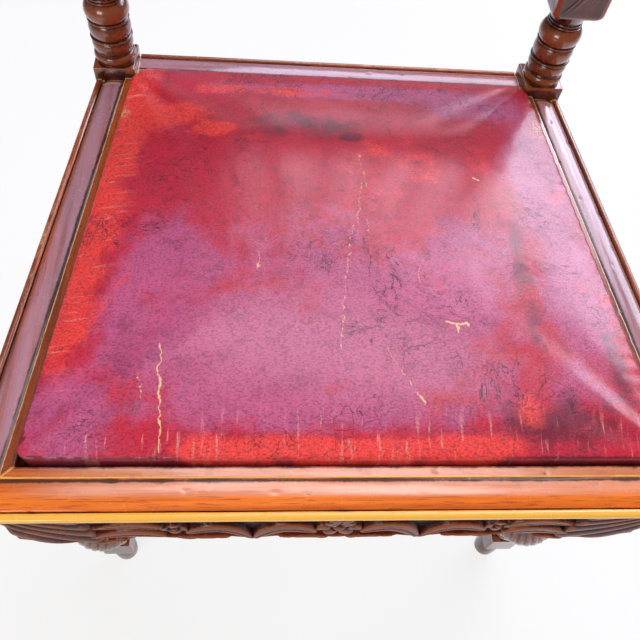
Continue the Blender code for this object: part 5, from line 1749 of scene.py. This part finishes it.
# Bloom patches, partly painted reflection: over the middle, along the right edge and along the
# rear crest.
BLOOM_AND_SHEEN_SPOTS = (
    (-0.075, -0.108, 0.100, 0.050, 1.00), (0.030, -0.090, 0.095, 0.070, 0.95),
    (-0.030, -0.150, 0.130, 0.017, 0.90), (-0.150, -0.090, 0.030, 0.060, 0.80),
    (-0.125, -0.045, 0.045, 0.050, 0.85), (0.170, -0.050, 0.030, 0.080, 1.10),
    (0.128, 0.136, 0.060, 0.016, 1.00), (-0.182, -0.156, 0.036, 0.036, 0.75),
    (0.165, 0.050, 0.030, 0.080, 1.20), (0.090, -0.030, 0.040, 0.035, 0.75),
    (-0.040, -0.030, 0.100, 0.040, 0.50), (0.030, 0.152, 0.140, 0.013, 1.10),
    (0.150, -0.130, 0.040, 0.030, 0.50))
STAIN_SPOTS = (
    (-0.035, 0.100, 0.065, 0.022, 0.60), (0.129, -0.070, 0.009, 0.090, 0.55),
    (0.140, -0.160, 0.050, 0.020, 0.75), (0.008, 0.088, 0.011, 0.006, 1.2),
    (-0.150, -0.120, 0.020, 0.050, 0.45), (0.186, -0.110, 0.010, 0.040, 0.7))


def build_leather():
    """The crowned leather seat, swelled as cloth over its stuffing, then wrinkled."""
    settings = bpy.context.scene.chair_leather
    lines = SEAT_LINES
    shares = np.array([-1, *np.linspace(-0.991, 0.991, lines - 1), 1])
    grid_a, grid_b = np.meshgrid(shares, shares, indexing="ij")
    front, rear = FRONT_Y + SEAT_EDGE, REAR_Y - SEAT_EDGE

    def plan(sa, sb, inset):
        """Plan point of the cushion, its corners rounded and the rear ones cut back."""
        low, high = front + inset, rear - inset
        y = low + (high - low) * (sb + 1) / 2
        width = np.array([half_width(value, SEAT_EDGE + inset) for value in np.ravel(y)])
        x = sa * width.reshape(np.shape(y))
        # a corner's points are pulled towards the middle of the seat
        for corner_y, way, cut in ((low, -1, 0.0055), (high, 1, 0.0118)):
            edge = half_width(corner_y, SEAT_EDGE + inset)
            reach = (edge - np.abs(x)) + (corner_y - y) * way
            lack = np.clip(cut - reach, 0, None) / 2
            x = x - np.sign(sa) * lack
            y = y - way * lack
        return x, y

    x, y = plan(grid_a, grid_b, 0.0)
    rise = (1 - grid_a ** 2) ** 0.8 * (1 - grid_b ** 2) ** 0.8
    start_crown = settings.crown * START_CROWN_SHARE
    z = settings.edge_height + start_crown * rise
    round_edge = np.minimum(1 - np.abs(grid_a), 1 - np.abs(grid_b))
    z = z - 0.0010 * (1 - smooth_steps(round_edge / 0.030)) - 0.0007 * (round_edge < 0.001)
    top = np.stack([x, y, z], axis=-1)
    border = grid_rim(lines + 1, lines + 1)
    verts = top.reshape(-1, 3).tolist()
    faces = grid_quads(lines + 1, lines + 1)
    ring = [i * (lines + 1) + j for i, j in border]
    border_a, border_b = shares[np.array(border)].T
    low = RAIL_TOP + GAP
    rows = [(0.0, settings.edge_height - 0.0032), (0.0, settings.edge_height - 0.0055),
            (0.0002, 0.0030), (0.0002, -0.0020), (0.0002, -0.0080), (0.0002, -0.0140),
            (0.0002, low + 0.0016), (0.0006, low + 0.0004), (0.0016, low), (0.0060, low),
            (0.0130, low), (0.0195, low), (0.0200, low + 0.0003), (0.0200, low + 0.0010),
            (0.0195, low + 0.0013), (0.0130, low + 0.0013), (0.0060, low + 0.0013),
            (LEATHER + 0.0004, low + 0.0014), (LEATHER, low + 0.0022), (LEATHER, -0.0100),
            (LEATHER, PAD_LOW - 0.0004), (LEATHER + 0.0006, PAD_LOW), (0.0100, PAD_LOW)]
    for inset, height in rows:
        rx, ry = plan(border_a, border_b, inset)
        first = len(verts)
        verts += [(px, py, height) for px, py in zip(rx, ry)]
        lower = list(range(first, first + len(ring)))
        for k in range(len(ring)):
            following = (k + 1) % len(ring)
            faces.append([ring[k], ring[following], lower[following], lower[k]])
        ring = lower
    under_x, under_y = plan(grid_a * 0.955, grid_b * 0.955, 0.0)
    under = dict(zip(border, ring))
    for i in range(1, lines):
        for j in range(1, lines):
            under[i, j] = len(verts)
            verts.append((under_x[i, j], under_y[i, j], PAD_LOW))
    for i in range(lines):
        for j in range(lines):
            faces.append([under[i, j], under[i, j + 1], under[i + 1, j + 1], under[i + 1, j]])
    mesh = make_mesh("leather", verts, faces)
    pinned = points_of(mesh)[:, 2] < settings.edge_height - 0.0025
    swell_as_cloth(mesh, pinned)
    once_finer(mesh)
    wrinkle_leather(mesh, settings.wrinkle)
    cushion = finish_piece("leather_seat", mesh, leather_material(), "seat",
                           ("seat_cover", "seat_pad"), "red_leather", sharp=80.0)


SWELLING = {"quality": 6, "mass": 0.4, "tension_stiffness": 60, "compression_stiffness": 60,
            "shear_stiffness": 25, "bending_stiffness": 6, "air_damping": 3,
            "use_pressure": True, "uniform_pressure_force": 3.2, "vertex_group_mass": "pinned"}


def swell_as_cloth(mesh, pinned):
    """Lets air pressure swell the free part of a closed mesh, and caps its travel."""
    before = points_of(mesh)
    blank = add_object("swelling", mesh)
    group = blank.vertex_groups.new(name="pinned")
    group.add([int(k) for k in np.nonzero(pinned)[0]], 1.0, "REPLACE")
    cloth = blank.modifiers.new("cloth", "CLOTH")
    for key, value in SWELLING.items():
        setattr(cloth.settings, key, value)
    cloth.settings.effector_weights.gravity = 0.0
    cloth.collision_settings.use_collision = False
    cloth.point_cache.frame_start, cloth.point_cache.frame_end = 1, 24
    for step in range(1, SWELL_FRAMES + 1):
        bpy.context.scene.frame_set(step)
    graph = bpy.context.evaluated_depsgraph_get()
    swollen = bpy.data.meshes.new_from_object(blank.evaluated_get(graph))
    after = points_of(swollen)
    bpy.context.scene.frame_set(1)
    blank.modifiers.remove(cloth)
    bpy.data.objects.remove(blank, do_unlink=True)
    bpy.data.meshes.remove(swollen)
    move = after - before
    length = np.linalg.norm(move, axis=1)[:, None].clip(1e-9)
    reach = SWELL_LIMIT * np.tanh(length / SWELL_LIMIT)
    set_points(mesh, before + move * np.minimum(1.0, reach / length))


def once_finer(mesh):
    """Smooths a mesh by one level of subdivision, in place."""
    blank = add_object("finer", mesh)
    finer = blank.modifiers.new("finer", "SUBSURF")
    finer.levels = 1
    finer.render_levels = 1
    made = evaluated_mesh(blank)
    verts = points_of(made)
    faces = [list(face.vertices) for face in made.polygons]
    bpy.data.objects.remove(blank, do_unlink=True)
    bpy.data.meshes.remove(made)
    mesh.clear_geometry()
    mesh.from_pydata([tuple(v) for v in verts], [], faces)
    tidy_mesh(mesh)


def wrinkle_leather(mesh, depth):
    """Folds along the front edge, creases over the top, and where the dye has changed."""
    points = points_of(mesh)
    x, y, z = points.T
    width = np.array([half_width(value, SEAT_EDGE) for value in y])
    front, rear = FRONT_Y + SEAT_EDGE, REAR_Y - SEAT_EDGE
    from_side = width - np.abs(x)
    from_front, from_rear = y - front, rear - y
    upper = smooth_steps((z - 0.0005) / 0.006)
    near_front = np.exp(-np.clip(from_front, 0, None) / 0.011) * upper
    near_side = np.exp(-np.clip(from_side, 0, None) / 0.010) * upper
    near_rear = np.exp(-np.clip(from_rear, 0, None) / 0.010) * upper
    slow = np.array([noise.noise(Vector((v * 24, 3.1, 0))) for v in x])
    pleat = np.sin(x * 520 + slow * 5.0) * (0.55 + 0.45 * np.sin(x * 97 + 1.0))
    lift = depth * pleat * near_front
    side_slow = np.array([noise.noise(Vector((v * 22, 8.7, 0))) for v in y])
    lift += 0.45 * depth * np.sin(y * 480 + side_slow * 6.0) * near_side
    lift += 0.35 * depth * np.sin(x * 400 + slow * 7.0) * near_rear
    for k in range(len(points)):
        if upper[k] > 0.5:
            place = Vector((x[k] * 16 + 5, y[k] * 16, 0.4))
            lift[k] += CREASE_DEPTH * noise.fractal(place, 1.0, 2.0, 4)
    set_points(mesh, np.column_stack([x, y, z + lift]))
    crest = bpy.context.scene.chair_leather.edge_height
    side = np.exp(-((from_side / 0.030) ** 2)) * np.where(x < 0, 1.0, 0.35)
    side = side * smooth_steps((y + 0.150) / 0.060)
    strip = np.exp(-((from_front - 0.006) / 0.009) ** 2)
    strip = strip * (1 - smooth_steps((np.abs(x + 0.005) - 0.090) / 0.050))
    rubbed = np.maximum(np.maximum(side, strip), patches(x, y, RUBBED_SPOTS))
    keep_value(mesh, "edge", rubbed)
    keep_value(mesh, "bloom", patches(x, y, BLOOM_AND_SHEEN_SPOTS))
    # Painted shade over the drop sides below the leather's crest, carried with the stains.
    shaded_drop = (z < crest - 0.0015) * 1.0
    keep_value(mesh, "stain", np.maximum(patches(x, y, STAIN_SPOTS), shaded_drop))
    nicks = np.exp(-(((from_front - 0.0002) / 0.0010) ** 2)) * (z > crest - 0.0014)
    torn = np.exp(-(((x - 0.176) / 0.006) ** 2 + ((y - 0.120) / 0.012) ** 2))
    torn += np.exp(-(((x + 0.1806) / 0.004) ** 2 + ((y - 0.122) / 0.006) ** 2))
    keep_value(mesh, "nicks", np.clip(nicks + torn, 0, 1))
    pleats = np.exp(-((from_front - 0.014) / 0.013) ** 2) * 1.2
    keep_value(mesh, "pleats", pleats - np.exp(-((from_side - 0.012) / 0.013) ** 2) * (x < 0))


def patches(x, y, spots):
    """Soft patches over the seat, each (x, y, half width, half depth, strength)."""
    found = np.zeros(len(x))
    for spot_x, spot_y, width, depth, strength in spots:
        far = ((x - spot_x) / width) ** 2 + ((y - spot_y) / depth) ** 2
        found = np.maximum(found, strength * np.exp(-far ** 1.4))
    return found


# Stage

WHITE = (1, 1, 1, 1)
WORLD_LIGHT = 0.14
FLOOR_REACH = 14.0
CAMERA_RIGHT = (0.9962, -0.0304, 0.0813)
CAMERA_AHEAD = (0.0853, 0.5197, -0.8501)


# Name, place, width, depth, power and colour
LAMPS = (
    ("window_rear", (0.58, 1.70, 2.05), 1.7, 1.1, 28.0, (0.82, 0.82, 1.0)),
    ("window_corner", (1.70, 1.40, 1.50), 1.5, 1.1, 27.0, (0.82, 0.84, 1.0)),
    ("skylight", (0.25, 0.50, 2.50), 1.4, 0.6, 10.0, (1.0, 0.90, 0.94)),
    ("ceiling_front", (-0.15, -1.00, 2.30), 1.10, 0.60, 22.5, (1.0, 0.94, 0.90)),
    ("room_front", (-1.2, -2.0, 1.2), 1.0, 0.8, 14.0, (1.0, 0.96, 0.92)),
)


def build_stage():
    """A pale floor, soft lamps and the camera."""
    settings = bpy.context.scene.chair_stage
    rings = np.linspace(0, FLOOR_REACH, 5)
    verts = [(x, y, 0.0) for x in (*-rings[:0:-1], *rings) for y in (*-rings[:0:-1], *rings)]
    floor_mesh = bpy.data.meshes.new("floor")
    floor_mesh.from_pydata(verts, [], [quad[::-1] for quad in grid_quads(9, 9)])
    floor = add_object("floor", floor_mesh)
    material = bpy.data.materials.new("pale_floor")
    material.use_nodes = True
    tree = material.node_tree
    shader = fill(tree.nodes["Principled BSDF"],
                  {"Base Color": (*settings.floor, 1.0), "Roughness": 0.9})
    glow = put(tree, "ShaderNodeEmission", {"Color": WHITE, "Strength": 1.0})[0]
    seen = Value(put(tree, "ShaderNodeLightPath")["Is Camera Ray"])
    lit = put(tree, "ShaderNodeMixShader", {0: seen * 0.75, 1: shader.outputs[0], 2: glow})[0]
    # from below, the floor lets the underside of the chair be seen
    under = put(tree, "ShaderNodeNewGeometry")["Backfacing"]
    clear = put(tree, "ShaderNodeBsdfTransparent")[0]
    mixed = put(tree, "ShaderNodeMixShader", {0: under, 1: lit, 2: clear})[0]
    fill(tree.nodes["Material Output"], {"Surface": mixed})
    floor_mesh.materials.append(material)

    world = bpy.data.worlds.new("studio")
    bpy.context.scene.world = world
    world.use_nodes = True
    tree = world.node_tree
    tree.nodes.clear()
    path = put(tree, "ShaderNodeLightPath")
    white = greatest([Value(path["Is Camera Ray"]), Value(path["Is Transmission Ray"])])
    strength = white * (1.0 - WORLD_LIGHT) + WORLD_LIGHT
    back = put(tree, "ShaderNodeBackground", {"Color": WHITE, "Strength": strength})[0]
    put(tree, "ShaderNodeOutputWorld", {"Surface": back})

    for name, place, width, depth, power, colour in LAMPS:
        lamp = bpy.data.lights.new(name, "AREA")
        lamp.shape = "RECTANGLE"
        lamp.size, lamp.size_y = width, depth
        lamp.energy = power
        lamp.color = colour
        held = add_object(name, lamp)
        held.visible_glossy = name != "ceiling_front"
        held.location = place
        aim = Vector((0, 0, 0.35)) - Vector(place)
        held.rotation_euler = aim.to_track_quat("-Z", "Y").to_euler()

    camera = bpy.data.cameras.new("camera")
    camera.lens = settings.lens
    camera.sensor_width = 36.0
    camera.clip_start = 0.01
    held = add_object("camera", camera)
    ahead = Vector(CAMERA_AHEAD).normalized()
    up = Vector(CAMERA_RIGHT).normalized().cross(ahead).normalized()
    right = ahead.cross(up)
    turn = Matrix((right, up, -ahead)).transposed().to_4x4()
    held.matrix_world = Matrix.Translation(settings.place) @ turn
    bpy.context.scene.camera = held
    bpy.context.scene.view_settings.view_transform = "Standard"


def dress_solids():
    """Gives every solid that stays its own finish."""
    finishes = (
        ("side_rail", moulding_wood("y")), ("rear_rail", moulding_wood("x")),
        ("front_rail", turned_wood("x")), ("seat_bearer_rear", plain_wood("x")),
        ("seat_bearer", plain_wood("y")), ("corner_block", plain_wood("x")),
        ("slip_rail_front", plain_wood("x")), ("slip_rail_rear", plain_wood("x")),
        ("slip_rail", plain_wood("y")),
    )
    for name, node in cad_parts.items():
        chosen = [material for start, material in finishes if name.startswith(start)]
        node.data.materials.clear()
        node.data.materials.append(chosen[0] if chosen else turned_wood("z"))


# Operators, one for each piece or group of like pieces


def chair_operator(name, label, described, work):
    """An operator class that runs one builder."""
    def execute(self, context):
        work()
        return {"FINISHED"}
    return type("CHAIR_OT_" + name, (bpy.types.Operator,), {
        "bl_idname": "chair." + name, "bl_label": label, "bl_options": {"UNDO"},
        "__doc__": described, "execute": execute})


STEPS = (
    ("stage", "Stage", "Builds the floor, the lamps and the camera", build_stage),
    ("dress_solids", "Dress the solids", "Finishes the solids that stay", dress_solids),
    ("mouldings", "Mouldings", "Builds the moulded seat frame", build_mouldings),
    ("back_posts", "Back posts", "Builds the two ring-turned back posts", build_back_posts),
    ("front_legs", "Front legs", "Builds the two turned front legs", build_front_legs),
    ("apron", "Apron", "Builds the carved apron", build_apron),
    ("stretchers", "Stretchers", "Builds the turned stretchers", build_stretchers),
    ("back", "Back", "Builds the rails, spindles and finials of the back", build_back),
    ("screws", "Screws", "Builds the corner blocks' screws", build_screws),
    ("leather", "Leather seat", "Builds the leather seat", build_leather),
    ("under_seat", "Under the seat", "Builds webbing, hessian and tacks", build_under_seat),
)
OPERATORS = tuple(chair_operator(*step) for step in STEPS)


class CHAIR_PT_panel(bpy.types.Panel):
    """Lists the chair's settings and the steps that build it"""
    bl_label = "Side chair"
    bl_idname = "CHAIR_PT_panel"
    bl_space_type = "VIEW_3D"
    bl_region_type = "UI"
    bl_category = "Side chair"

    def draw(self, context):
        for group in (context.scene.chair_wood, context.scene.chair_leather,
                      context.scene.chair_stage):
            box = self.layout.box()
            for key in group.bl_rna.properties.keys():
                if key not in ("rna_type", "name"):
                    box.prop(group, key)
        for name, label, _, _ in STEPS:
            self.layout.operator("chair." + name, text=label)


CLASSES = (ChairWoodSettings, ChairLeatherSettings, ChairStageSettings, *OPERATORS,
           CHAIR_PT_panel)


def register():
    for cls in CLASSES:
        bpy.utils.register_class(cls)
    bpy.types.Scene.chair_wood = bpy.props.PointerProperty(type=ChairWoodSettings)
    bpy.types.Scene.chair_leather = bpy.props.PointerProperty(type=ChairLeatherSettings)
    bpy.types.Scene.chair_stage = bpy.props.PointerProperty(type=ChairStageSettings)


def unregister():
    del bpy.types.Scene.chair_stage
    del bpy.types.Scene.chair_leather
    del bpy.types.Scene.chair_wood
    for cls in reversed(CLASSES):
        bpy.utils.unregister_class(cls)


def main():
    register()
    for name, *_ in STEPS:
        getattr(bpy.ops.chair, name)()


if __name__ == "__main__":
    main()
